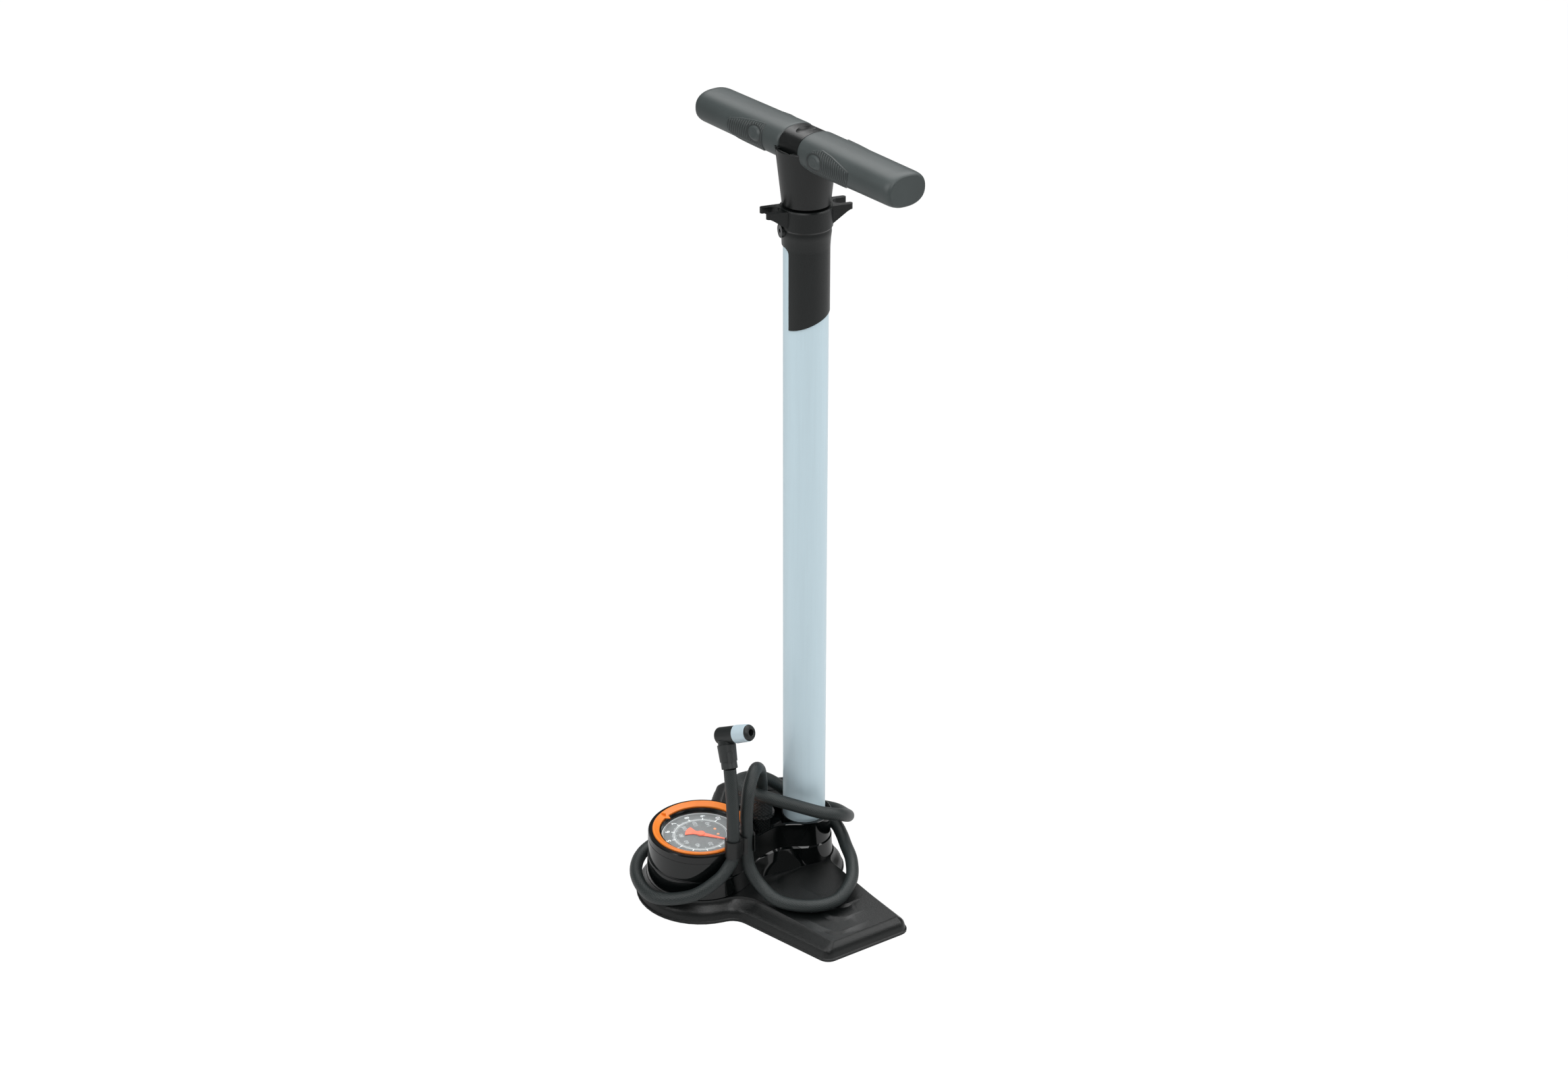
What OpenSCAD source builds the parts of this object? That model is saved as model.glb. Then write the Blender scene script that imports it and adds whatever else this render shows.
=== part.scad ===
// Floor bike pump: a foot plate and housing with a pressure gauge, a long
// barrel, a piston and rod driven by a T handle, and a hose with a valve head.
// Millimetres. The barrel's axis is Z, the plate stands on z = 0, the gauge
// lies towards -Y and the two foot wings spread along X.

/* [Barrel] */
// Outside diameter of the barrel tube
barrel_d = 35.4; // [30:0.2:44]
// Wall of the barrel tube
barrel_wall = 1.4; // [1:0.1:2.5]

/* [Piston and rod] */
// Diameter of the piston rod
rod_d = 10; // [8:0.5:12]
// Length of the piston with its guide neck
piston_len = 45; // [30:1:60]
// Free height left under the piston at the bottom of its stroke
piston_rest_gap = 4; // [2:0.5:12]
// Stroke of the piston, which sets the barrel's length
stroke = 500; // [380:5:560]

/* [Foot plate] */
// Reach of each wing, from the barrel's axis to the wing's front corner
wing_reach = 139; // [120:1:160]
// Height of the plate's flat seat under the housing
seat_z = 18; // [15:0.5:24]
// Drop of the wing's top towards its outer end
wing_drop = 5; // [3:0.5:7]
// Thickness of the plate's moulded skin
plate_wall = 3; // [2.4:0.2:4]
// Width of the plate's lobe round the gauge drum
lobe_w = 9; // [6:0.5:14]
// Height of the three corner steps on each wing
rib_h = 1.6; // [0.8:0.2:2.4]

/* [Housing] */
// Distance from the barrel's axis to the gauge's axis
gauge_y = 91.5; // [88:0.5:100]
// Wall of the drum round the gauge, at its foot
drum_wall = 2; // [1.6:0.1:4]
// Height of the rim along the housing's neck
rim_z = 57; // [54:0.5:62]
// Half width of the neck at its waist
waist_w = 16; // [14:0.5:19]
// Depth of the hollow in the neck's top
hollow_depth = 9; // [5:0.5:12]
// Diameter of the air passage
air_d = 5; // [3:0.5:6]

/* [Gauge] */
// Radius of the black rim of the gauge case
case_r = 44; // [38:0.5:48]
// Width of the black rim
rim_w = 3.7; // [2.5:0.1:5]
// Width of the turning bezel
bezel_w = 5.7; // [4:0.1:8]
// Height of the bezel's upper edge above the plate's underside
bezel_top_z = 60.5; // [59:0.5:66]
// Thickness of the lens
lens_t = 1.5; // [1:0.1:2.5]

/* [Collar] */
// Outside radius of the collar's ring
collar_r = 20.6; // [20:0.2:24]
// Height of the collar's ring
collar_h = 16; // [12:0.5:22]
// Reach of the two hose lugs from the barrel's axis
lug_reach = 34.8; // [32:0.2:42]
// Width of the notch in each hose lug
lug_notch = 10; // [8:0.5:12]
// Length of the thin sleeve that hangs below the ring
sleeve_len = 76; // [50:1:100]

/* [Handle] */
// Length of the handle from end to end
handle_len = 240; // [210:1:280]
// Height of the handle's axis above the stem's foot
stem_h = 45.5; // [38:0.5:54]
// Width of a grip, front to back
grip_w = 37; // [34:0.5:46]
// Height of a grip
grip_h = 28.5; // [26:0.5:32]
// Angle of the handle from the wings' direction
handle_turn = 17; // [0:1:90]

/* [Hose and valve head] */
// Outside diameter of the hose
hose_d = 10.6; // [9:0.2:11.6]
// Radius of the hose fitting's flange
fitting_r = 10.9; // [9.5:0.1:12]
// Diameter of the valve head's barrel
head_d = 14.4; // [13:0.2:16]
// Length of the valve head's barrel
head_len = 20; // [17:0.5:26]
// Width of the band round the valve head
band_len = 13; // [9:0.5:16]

/* [Hidden] */
$fn = 96;
// Radial running clearance of a shaft in its bore
run = 0.05;
// Clearance between fixed pieces that seat in each other
seat = 0.1;
// Gap between faces of pieces that move past each other
gap = 0.3;

// Heights up the pump
barrel_r = barrel_d / 2;
bore_r = barrel_r - barrel_wall;
floor_z = seat_z + 8;
foot_flange = 4;
barrel_z = floor_z + foot_flange;
foot_spigot = 8;
bush_lap = 1;
stop_gap = 1;
barrel_len = foot_spigot + piston_rest_gap + piston_len + stroke + stop_gap + bush_lap;
barrel_top = barrel_z + barrel_len;
barrel_cap = 10;
collar_top = barrel_top + barrel_cap;
collar_z = collar_top - collar_h;
stem_z = collar_top + 1.5;
handle_z = stem_z + stem_h;
piston_z = barrel_z + foot_spigot + piston_rest_gap;
rod_r = rod_d / 2;
rod_top = stem_z + 26;

// Air path
air_z = seat_z + 4;
fitting_neck_r = fitting_r - 3.7;
fitting_y = -(gauge_y - case_r - fitting_neck_r - 2.3);
valve_r = 5;
chamber_r = valve_r + 1.5;
chamber_h = 8;
valve_t = 1.2;
seat_plane = floor_z + chamber_h;
valve_top = seat_plane - gap;

// Gauge radii, from the rim inwards
drum_r = case_r + drum_wall;
lobe_r = drum_r + lobe_w;
bezel_r = case_r - rim_w;
bezel_bore_r = bezel_r - bezel_w;

// Gauge heights, from the bezel down
bezel_h = 5;
bezel_dip = 2.3;
bezel_z = bezel_top_z - bezel_h;
lens_top = bezel_z - gap;
lens_z = lens_top - lens_t;
dial_z = lens_z - 3;
case_rim_z = rim_z - 5;
case_rim_top = bezel_top_z - 1.6;
case_floor = dial_z - 16;
cup_r = case_r - 2;
well_r = bezel_bore_r - 1.4;
lens_r = well_r + 2.4;
dial_r = well_r - seat;
spindle_r = 1.2;
spindle_foot = case_floor + 6.5;

// Housing screws: places, shank, head and depth
screw_ring = drum_r - 9.5;
screw_places = [[0, -gauge_y - screw_ring], [screw_ring * cos(33), -gauge_y + screw_ring * sin(33)],
                [-screw_ring * cos(33), -gauge_y + screw_ring * sin(33)],
                [15, -25], [-15, -25]];
screw_r = 1.9;
screw_head_r = 4;
screw_sink = 7;
screw_bite = 6;

// ---- Helpers ----

function unit(v) = v / norm(v);
function mix(a, b, t) = a + (b - a) * t;
function ramp(x, a, b) = min(1, max(0, (x - a) / (b - a)));
function swing(d) = d > 180 ? d - 360 : d < -180 ? d + 360 : d;

// Points along an arc
function arc(c, r, a0, a1, n) =
    [for (i = [0:n]) let(a = mix(a0, a1, i / n)) c + r * [cos(a), sin(a)]];

// Points along a cubic curve, without its first one
function bezier(p0, p1, p2, p3, n) = [for (i = [1:n]) let(t = i / n, u = 1 - t)
    u * u * u * p0 + 3 * u * u * t * p1 + 3 * u * t * t * p2 + t * t * t * p3];

// Corner at p1 between p0 and p2, rounded to radius r
function corner(p0, p1, p2, r, n) =
    let(u = unit(p0 - p1), v = unit(p2 - p1), half = acos(u * v) / 2,
        c = p1 + unit(u + v) * r / sin(half),
        a = p1 + u * r / tan(half) - c, b = p1 + v * r / tan(half) - c,
        t0 = atan2(a.y, a.x), turn = swing(atan2(b.y, b.x) - t0))
    [for (i = [0:n]) c + r * [cos(t0 + turn * i / n), sin(t0 + turn * i / n)]];

// Closed outline from its right half, which runs from the back to the front
function both_sides(half) =
    concat(half, [for (i = [len(half) - 1:-1:0])
        if (half[i].x > 0.01) [-half[i].x, half[i].y]]);

// Solid through rings of points that run clockwise from above, lowest first
module skin(rings) {
    n = len(rings[0]);
    m = len(rings);
    sides = [for (k = [0:m - 2], i = [0:n - 1]) let(j = (i + 1) % n)
        each [[k * n + i, k * n + j, (k + 1) * n + j],
              [k * n + i, (k + 1) * n + j, (k + 1) * n + i]]];
    floor_face = [for (i = [n - 1:-1:0]) i];
    top_face = [for (i = [0:n - 1]) (m - 1) * n + i];
    polyhedron([for (r = rings) each r], concat([floor_face], sides, [top_face]));
}

// Catmull-Rom curve through the points, k steps between each pair
function bend(p, i, t) =
    let(a = i > 0 ? p[i - 1] : 2 * p[0] - p[1], b = p[i], c = p[i + 1],
        d = i + 2 < len(p) ? p[i + 2] : 2 * c - b)
    (2 * b + (c - a) * t + (2 * a - 5 * b + 4 * c - d) * t * t
        + (3 * b - a - 3 * c + d) * t * t * t) / 2;
function curve(p, k) =
    concat([for (i = [0:len(p) - 2], s = [0:k - 1]) bend(p, i, s / k)], [p[len(p) - 1]]);

// Direction of a curve at each of its points
function heading(c) = [for (i = [0:len(c) - 1])
    unit(c[min(i + 1, len(c) - 1)] - c[max(i - 1, 0)])];
// Side vectors carried along the curve without twisting
function carried(t, v, i = 0, done = []) =
    i == len(t) ? done
    : let(w = unit((i == 0 ? v : done[i - 1]) - ((i == 0 ? v : done[i - 1]) * t[i]) * t[i]))
      carried(t, v, i + 1, concat(done, [w]));

// Round tube of n sides along the points of a curve
module swept_tube(c, r, n, side) {
    t = heading(c);
    v = carried(t, side);
    skin([for (i = [0:len(c) - 1]) [for (s = [0:n - 1])
        c[i] + r * (cos(360 * s / n) * v[i] - sin(360 * s / n) * cross(t[i], v[i]))]]);
}

// Plain ring of outer radius r, inner radius b and height h
module ring(r, b, h) {
    rotate_extrude() translate([b, 0]) square([r - b, h]);
}

// O-ring of middle radius r and cord radius c
module o_ring(r, c) {
    rotate_extrude() translate([r, 0]) circle(c, $fn = 24);
}

module at_gauge() { translate([0, -gauge_y, 0]) children(); }

// ---- Foot plate ----

// The plate's outline on the right-hand side is a chain of straight lines from
// the back to the front. Each is [point, direction], with the plate on its right.
bulge_r = 34;
bulge_turn = 52;
rear_corner = [wing_reach - 19, 49.5];
front_corner = [wing_reach, -31.5];
rear_root = [25, 23.5];
front_root = [lobe_r, 11.5 - gauge_y];
plate_lines = [
    [bulge_r * [cos(bulge_turn), sin(bulge_turn)], [sin(bulge_turn), -cos(bulge_turn)]],
    [rear_root, unit(rear_corner - rear_root)],
    [rear_corner, unit(front_corner - rear_corner)],
    [front_corner, unit(front_root - front_corner)],
    [[lobe_r, -gauge_y], [0, -1]]];
// How much wider the cove is along each of those lines
cove_gain = [0, 0.1, 0, 0.9, 0];
plate_radii = [-5, 9, 10, -16];

function shifted(l, d) = [l[0] + d * [l[1].y, -l[1].x], l[1]];
function meet(l, m) = let(w = m[0] - l[0], k = l[1].x * m[1].y - l[1].y * m[1].x)
    l[0] + l[1] * (w.x * m[1].y - w.y * m[1].x) / k;

// The outline moved inwards by d, and further along the coved lines
cove_start = 2.6;
function plate_outline(d) =
    let(s = [for (i = [0:4]) shifted(plate_lines[i], d + cove_gain[i] * max(0, d - cove_start))],
        v = [for (i = [0:3]) meet(s[i], s[i + 1])],
        r = [for (i = [0:3]) plate_radii[i] < 0 ? -plate_radii[i] + d : max(0.6, plate_radii[i] - d)])
    both_sides(concat(
        arc([0, 0], bulge_r - d, 90, bulge_turn, 5),
        corner(s[0][0], v[0], v[1], r[0], 4),
        corner(v[0], v[1], v[2], r[1], 5),
        corner(v[1], v[2], v[3], r[2], 6),
        [for (t = [0.25:0.25:0.75]) mix(v[2], v[3], t)],
        corner(v[2], v[3], s[4][0], r[3], 5),
        arc([0, -gauge_y], lobe_r - d, 0, -90, 12)));
module plate_form(profile) {
    skin([for (e = profile) [for (q = plate_outline(e[0])) [q.x, q.y, e[1]]]]);
}

// The moulded edge: a lip on the floor, a steep wall and a wide cove
plate_edge = [[0, -2], [0, 1.8], [1, 2.4], [1.6, 5.5], [cove_start, 8.2], [4.2, 10.4],
              [6.6, 12.2], [8.4, 15], [9, seat_z + 4]];
under_edge = [[cove_start + plate_wall, -2], [cove_start + plate_wall, 8.2 - plate_wall / 2],
              [7 + plate_wall, 12], [9 + plate_wall, seat_z + 4]];

// Everything below the plate's top, which is flat under the housing and falls
// along the wings; drop lowers it
seat_half = 30;
function top_at(x) = seat_z - wing_drop * max(0, abs(x) - seat_half) / (wing_reach - seat_half);
module below_top(drop) {
    far = wing_reach + 10;
    rotate([90, 0, 0]) linear_extrude(400, center = true) polygon([
        [-far, 0], [far, 0], [far, top_at(far) - drop], [seat_half, seat_z - drop],
        [-seat_half, seat_z - drop], [-far, top_at(far) - drop]]);
}

// Step of an L shape on a wing's top: steep outside, gentle inside, and fading
// into the top along both arms
step_w = 9;
module corner_step(apex, arm_a, arm_b) {
    path = concat([arm_a, mix(arm_a, apex, 0.5)], corner(arm_a, apex, arm_b, 7, 4),
                  [mix(arm_b, apex, 0.5), arm_b]);
    n = len(path);
    skin([for (i = [0:n - 1])
        let(t = unit(path[min(i + 1, n - 1)] - path[max(i - 1, 0)]), w = [-t.y, t.x],
            h = rib_h * ramp(min(i, n - 1 - i), 0, 2) - 0.1)
        [for (e = [[0, -2], [0.8, h], [2.6, h], [step_w, -2]])
            let(q = path[i] + w * e[0]) [q.x, q.y, top_at(q.x) + e[1]]]]);
}

end_run = unit(rear_corner - front_corner);
front_run = unit(front_root - front_corner);
module wing_steps() {
    for (s = [0:2]) {
        apex = [wing_reach - 20 - 16.5 * s, -17 + 8 * s];
        corner_step(apex, apex + end_run * (36 - 6 * s), apex + front_run * (38 + 6 * s));
    }
}

// Stiffening ribs under the plate
rib_t = 2.4;
module rib_plan() {
    for (x = [-105:35:105]) translate([x - rib_t / 2, -200]) square([rib_t, 300]);
    for (y = [-105:35:0]) translate([-200, y - rib_t / 2]) square([400, rib_t]);
}
module under_ribs() {
    intersection() {
        below_top(plate_wall / 2);
        union() {
            translate([0, 0, 1]) linear_extrude(7.2)
                intersection() { polygon(plate_outline(cove_start + plate_wall / 2)); rib_plan(); }
            translate([0, 0, 8]) linear_extrude(seat_z)
                intersection() { polygon(plate_outline(8 + plate_wall / 2)); rib_plan(); }
        }
    }
}

module plate_bosses(r, h) {
    for (p = screw_places) translate([p.x, p.y, 0]) cylinder(h = h, r = r);
}

module base_plate() color([0.13, 0.14, 0.14]) {
    difference() {
        union() {
            difference() {
                intersection() {
                    plate_form(plate_edge);
                    below_top(0);
                }
                intersection() {
                    plate_form(under_edge);
                    translate([0, 0, -1]) below_top(plate_wall - 1);
                }
            }
            under_ribs();
            plate_bosses(screw_head_r + 2.4, seat_z - 1);
            cylinder(h = seat_z - 1, r = 14);
            for (m = [0, 1]) mirror([m, 0, 0]) wing_steps();
        }
        translate([0, 0, -1]) plate_bosses(screw_head_r + 0.4, screw_sink + 1);
        translate([0, 0, -1]) plate_bosses(screw_r + 0.3, seat_z + 5);
    }
}

module housing_screws() color([0.55, 0.56, 0.57]) {
    for (p = screw_places) translate([p.x, p.y, 0]) difference() {
        union() {
            translate([0, 0, screw_sink - 3]) cylinder(h = 3, r = screw_head_r);
            translate([0, 0, screw_sink - 1]) cylinder(h = seat_z - screw_sink + screw_bite + 1, r = screw_r);
        }
        translate([0, 0, screw_sink - 4]) cylinder(h = 3, r = 1.9, $fn = 6);
    }
}

// ---- Housing ----

// Plan of the housing: round about the barrel, waisted, and round the gauge
waist_y = -27;
drum_start = 38;
function housing_plan(end_r, w, d_r) =
    let(waist = [w, waist_y], shoulder = [0, -gauge_y] + d_r * [cos(drum_start), sin(drum_start)],
        run_in = [sin(drum_start), -cos(drum_start)])
    both_sides(concat(
        arc([0, 0], end_r, 90, 0, 10),
        bezier([end_r, 0], [end_r, -9], waist + [0, 10], waist, 5),
        bezier(waist, waist - [0, 9], shoulder - 14 * run_in, shoulder, 7),
        arc([0, -gauge_y], d_r, drum_start - 7, -90, 18)));
function housing_ring(end_r, w, d_r, z) = [for (q = housing_plan(end_r, w, d_r)) [q.x, q.y, z]];

end_r = barrel_r + 4.8;
ledge_z = seat_z + 16;
rim_wall = 2.4;
rim_drum_r = drum_r - 1.8;
hollow_z = rim_z - hollow_depth;
// Flared skirt up to the ledge, the upright upper tier and its rim band, with
// the ends left long
module housing_skin() {
    skin([housing_ring(end_r + 2, waist_w + 10, drum_r, seat_z - 2),
          housing_ring(end_r + 2, waist_w + 10, drum_r, seat_z),
          housing_ring(end_r + 1.6, waist_w + 7.4, drum_r - 0.2, seat_z + 3),
          housing_ring(end_r + 1.2, waist_w + 4.4, drum_r - 0.6, seat_z + 8),
          housing_ring(end_r + 0.9, waist_w + 2, drum_r - 1.2, ledge_z - 0.6),
          housing_ring(end_r + 0.4, waist_w + 1, drum_r - 1.5, ledge_z),
          housing_ring(end_r, waist_w, rim_drum_r, ledge_z + 0.6),
          housing_ring(end_r, waist_w, rim_drum_r, rim_z - 5),
          housing_ring(end_r + 0.7, waist_w + 0.7, rim_drum_r + 0.5, rim_z - 4.6),
          housing_ring(end_r + 0.7, waist_w + 0.7, rim_drum_r + 0.5, rim_z - 0.5),
          housing_ring(end_r + 0.2, waist_w + 0.2, rim_drum_r, rim_z),
          housing_ring(end_r + 0.2, waist_w + 0.2, rim_drum_r, rim_z + 2)]);
}
module housing_form() {
    intersection() {
        housing_skin();
        translate([-100, -200, seat_z]) cube([200, 300, rim_z - seat_z]);
    }
}

// Hollow in the neck's top, which stops short of the gauge
module neck_hollow() {
    translate([0, 0, hollow_z]) linear_extrude(hollow_depth + 1) difference() {
        polygon(housing_plan(end_r - rim_wall, waist_w - rim_wall, rim_drum_r - rim_wall));
        translate([0, -gauge_y]) circle(case_r + 1.6);
        translate([-60, -gauge_y - 100]) square([120, 100]);
    }
}

// Pockets under the drum, on both sides of the air passage
module drum_pockets() {
    translate([0, 0, seat_z - 1]) linear_extrude(case_floor - seat_z - 3) difference() {
        translate([0, -gauge_y]) circle(drum_r - 5);
        translate([-7, -gauge_y - 60]) square([14, 120]);
        for (p = screw_places) translate(p) circle(5);
    }
}

module housing() color([0.04, 0.05, 0.05]) {
    difference() {
        union() {
            difference() {
                housing_form();
                neck_hollow();
            }
            rotate_extrude() polygon([[0, hollow_z - 1], [barrel_r + 1.8, hollow_z - 1],
                [barrel_r + 1.1, rim_z - 1.5], [0, rim_z - 1.5]]);
        }
        translate([0, 0, floor_z]) cylinder(h = 100, r = barrel_r + seat);
        at_gauge() {
            translate([0, 0, case_floor - seat]) cylinder(h = 100, r = cup_r + seat);
            translate([0, 0, case_rim_z - seat]) cylinder(h = 100, r = case_r + 1);
            translate([0, 0, air_z]) cylinder(h = 100, r = 5 + seat);
        }
        drum_pockets();
        translate([0, 0, air_z]) cylinder(h = 20, r = air_d / 2);
        translate([0, fitting_y, air_z]) cylinder(h = 100, r = 6 + seat);
        translate([0, 0, air_z]) rotate([90, 0, 0]) cylinder(h = gauge_y, r = air_d / 2);
        translate([0, 0, seat_z - 1]) plate_bosses(screw_r, screw_bite + 2);
    }
}

// ---- Barrel, its foot and the check valve ----

module barrel() color([0.70, 0.80, 0.84]) {
    translate([0, 0, barrel_z]) ring(barrel_r, bore_r, barrel_len);
}

module barrel_foot() color([0.2, 0.2, 0.21]) {
    difference() {
        rotate_extrude() polygon([
            [0, floor_z], [barrel_r, floor_z], [barrel_r, barrel_z], [bore_r - seat, barrel_z],
            [bore_r - seat, barrel_z + 2], [bore_r - 2, barrel_z + 2], [bore_r - 2, barrel_z + 5],
            [bore_r - seat, barrel_z + 5], [bore_r - seat, barrel_z + foot_spigot],
            [0, barrel_z + foot_spigot]]);
        translate([0, 0, floor_z - 1]) cylinder(h = chamber_h + 1, r = chamber_r);
        cylinder(h = 100, r = air_d / 2);
    }
}

module foot_seal() color([0.08, 0.08, 0.08]) {
    translate([0, 0, barrel_z + 3.5]) o_ring(bore_r - 1.1, 0.9);
}

module check_valve() color([0.75, 0.72, 0.6]) {
    translate([0, 0, valve_top - valve_t]) cylinder(h = valve_t, r = valve_r);
    translate([0, 0, valve_top - valve_t - 2]) cylinder(h = 2.5, r = 1.6);
}

spring_z = floor_z + seat;
spring_top = valve_top - valve_t;
module valve_spring() color([0.7, 0.7, 0.72]) {
    turns = 4;
    r = 3.6;
    wire = 0.35;
    swept_tube([for (i = [0:turns * 10]) let(a = 36 * i)
        [r * cos(a), r * sin(a), mix(spring_z + wire, spring_top - wire - 0.05, i / (turns * 10))]],
        wire, 5, [1, 0, 0]);
}

// ---- Gauge ----

module gauge_case() color([0.05, 0.05, 0.05]) at_gauge() difference() {
    rotate_extrude() polygon([
        [0, case_floor], [cup_r, case_floor], [cup_r, case_rim_z], [case_r, case_rim_z],
        [case_r, case_rim_top - 1], [case_r - 0.6, case_rim_top], [bezel_r + run, case_rim_top],
        [bezel_r + run, lens_top], [lens_r + seat, lens_top], [lens_r + seat, lens_z],
        [well_r, lens_z], [well_r, dial_z], [well_r - 2, dial_z], [well_r - 2, case_floor + 2.5],
        [0, case_floor + 2.5]]);
    translate([0, 0, case_floor - 1]) cylinder(h = 5, r = 5 + seat);
}

module gauge_lens() color([0.9, 0.95, 0.95, 0.3]) at_gauge() {
    translate([0, 0, lens_z]) cylinder(h = lens_t, r = lens_r);
}

tab_z = bezel_top_z - bezel_dip - 0.8;
module lens_ring() color([0.85, 0.86, 0.86]) at_gauge() {
    translate([0, 0, lens_top]) ring(bezel_bore_r - gap, bezel_bore_r - gap - 1.2, tab_z - gap - lens_top);
}

module gauge_dial() color([0.3, 0.3, 0.31]) at_gauge() {
    translate([0, 0, dial_z]) ring(dial_r, spindle_r + 0.6, 0.8);
}

// Socket block with the shank that screws into the housing, and the bearing plate
tube_z = case_floor + 5;
tube_r = well_r - 13.2;
tube_w = 3;
tube_h = 6;
module bourdon_arc(grow) {
    translate([0, 0, tube_z - grow]) rotate([0, 0, -85]) rotate_extrude(angle = 270)
        translate([tube_r - grow, 0]) square([tube_w + 2 * grow, tube_h + 2 * grow]);
}
module gauge_movement() color([0.72, 0.6, 0.3]) at_gauge() {
    difference() {
        union() {
            translate([0, 0, air_z + 3]) cylinder(h = case_floor - air_z, r = 5);
            translate([-5, -tube_r - tube_w - 3, case_floor + 2.6]) cube([10, tube_r + tube_w + 8, tube_h + 4]);
            translate([0, 0, case_floor + 2.6]) cylinder(h = dial_z - case_floor - 3, r = 9);
        }
        bourdon_arc(seat);
        translate([0, 0, air_z]) cylinder(h = case_floor - air_z + 3, r = 1.5);
        translate([0, 0, spindle_foot - gap]) cylinder(h = 40, r = spindle_r + run);
    }
}

module bourdon_tube() color([0.78, 0.62, 0.3]) at_gauge() bourdon_arc(0);

// Needle: a long tapered pointer with a fan-shaped tail, turned to zero
zero_angle = 50;
needle_tip = dial_r - 9;
fan_r = 0.4 * dial_r;
module gauge_needle() color([0.94, 0.4, 0.25]) at_gauge() {
    translate([0, 0, spindle_foot]) cylinder(h = dial_z + 1.8 - spindle_foot, r = spindle_r);
    translate([0, 0, dial_z + 1.2]) {
        cylinder(h = 1.3, r = 3.2);
        rotate([0, 0, zero_angle]) linear_extrude(0.6) {
            polygon([[0, 2.3], [needle_tip, 0.3], [needle_tip, -0.3], [0, -2.3]]);
            polygon(concat([[0, -2.2], [-fan_r * 0.45, -2.4]],
                [for (a = [207:-9:153]) fan_r * [cos(a), sin(a)]], [[-fan_r * 0.45, 2.4], [0, 2.2]]));
        }
    }
}

// Turning bezel, with a tab that reaches in over the dial and an arrow on its slope
tab_turn = 218;
module gauge_bezel() color([0.96, 0.57, 0.23]) at_gauge() {
    rotate_extrude() polygon([
        [bezel_bore_r, bezel_z], [bezel_r, bezel_z], [bezel_r, bezel_top_z - 0.7],
        [bezel_r - 0.7, bezel_top_z], [bezel_r - 1.4, bezel_top_z],
        [bezel_bore_r, bezel_top_z - bezel_dip]]);
    rotate([0, 0, tab_turn]) {
        translate([0, 0, tab_z]) linear_extrude(0.8)
            polygon([[bezel_bore_r + 1, 3.4], [bezel_bore_r - 4, 0], [bezel_bore_r + 1, -3.4]]);
        translate([0, 0, tab_z + 0.4]) linear_extrude(bezel_top_z - tab_z + 0.2)
            polygon([[bezel_r - 1.6, 1.6], [bezel_r - 1.6, -1.6], [bezel_bore_r + 0.4, 0]]);
    }
}

// ---- Hose and valve head ----

fitting_z = rim_z - hollow_depth;
flange_z = bezel_top_z;
hose_start = [0, fitting_y, flange_z + 3 + seat];
hose_end = [33.3, -77, 133];

// The hose's own route, from the fitting through the clip to the valve head
hose_route = [
    hose_start, [0, -38, 76], [0, -38, 86], [1.4, -38.8, 95], [8, -42.6, 110], [21, -51, 119],
    [35, -61, 112], [42.4, -66, 93], [44.6, -66.8, 77], [44.6, -66.8, 57], [48.5, -65.5, 43],
    [58, -59, 30], [74, -48, 22.5], [88, -26, 21.9], [88, -4, 23], [76, 13, 30], [57, 21, 36],
    [36, 24, 38], [17, 27, 38], [-3, 29, 35], [-22, 21, 37], [-32, 2, 52], [-35, -22, 72],
    [-26, -46, 82], [-7, -55, 86], [11, -42, 86], [25, -20, 81], [37, 1, 76], [38, 17, 71],
    [26, 29, 60], [5, 36, 47], [-20, 33, 39], [-43, 12, 34], [-57, -22, 29], [-63, -62, 25],
    [-57, -100, 20], [-39, -131, 19], [-8, -146, 19], [27, -142, 19], [47.5, -117, 27],
    [51.8, -95.5, 40], [49.6, -84.6, 49.5], [48.4, -80, 58.5], [48.4, -79.8, 77],
    [45.6, -78.8, 93], [40, -77.6, 111], hose_end];

// Fitting with its flange, and the swollen boot that grips the hose's end
boot_h = 21;
boot_r = fitting_r - 1.8;
module hose_fitting() color([0.07, 0.07, 0.07]) {
    translate([0, fitting_y, 0]) difference() {
        union() {
            translate([0, 0, air_z + 3]) cylinder(h = fitting_z - air_z, r = 6);
            translate([0, 0, fitting_z]) cylinder(h = flange_z - fitting_z, r = fitting_neck_r);
            translate([0, 0, flange_z]) rotate_extrude() polygon([
                [0, -1.5], [fitting_neck_r, -1.5], [fitting_r, 1], [fitting_r, 3.4], [boot_r, 3.4],
                [boot_r, boot_h - 5], [boot_r - 0.7, boot_h - 2.6], [boot_r - 2, boot_h - 1], [0, boot_h]]);
        }
        translate([0, 0, air_z]) cylinder(h = 60, r = air_d / 2 - 0.5);
        translate([0, 0, flange_z + 3]) cylinder(h = 60, r = hose_d / 2 + 2 * seat);
    }
}

module hose() color([0.14, 0.15, 0.15]) {
    swept_tube(curve(hose_route, 2), hose_d / 2, 10, [1, 0, 0]);
}

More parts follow.
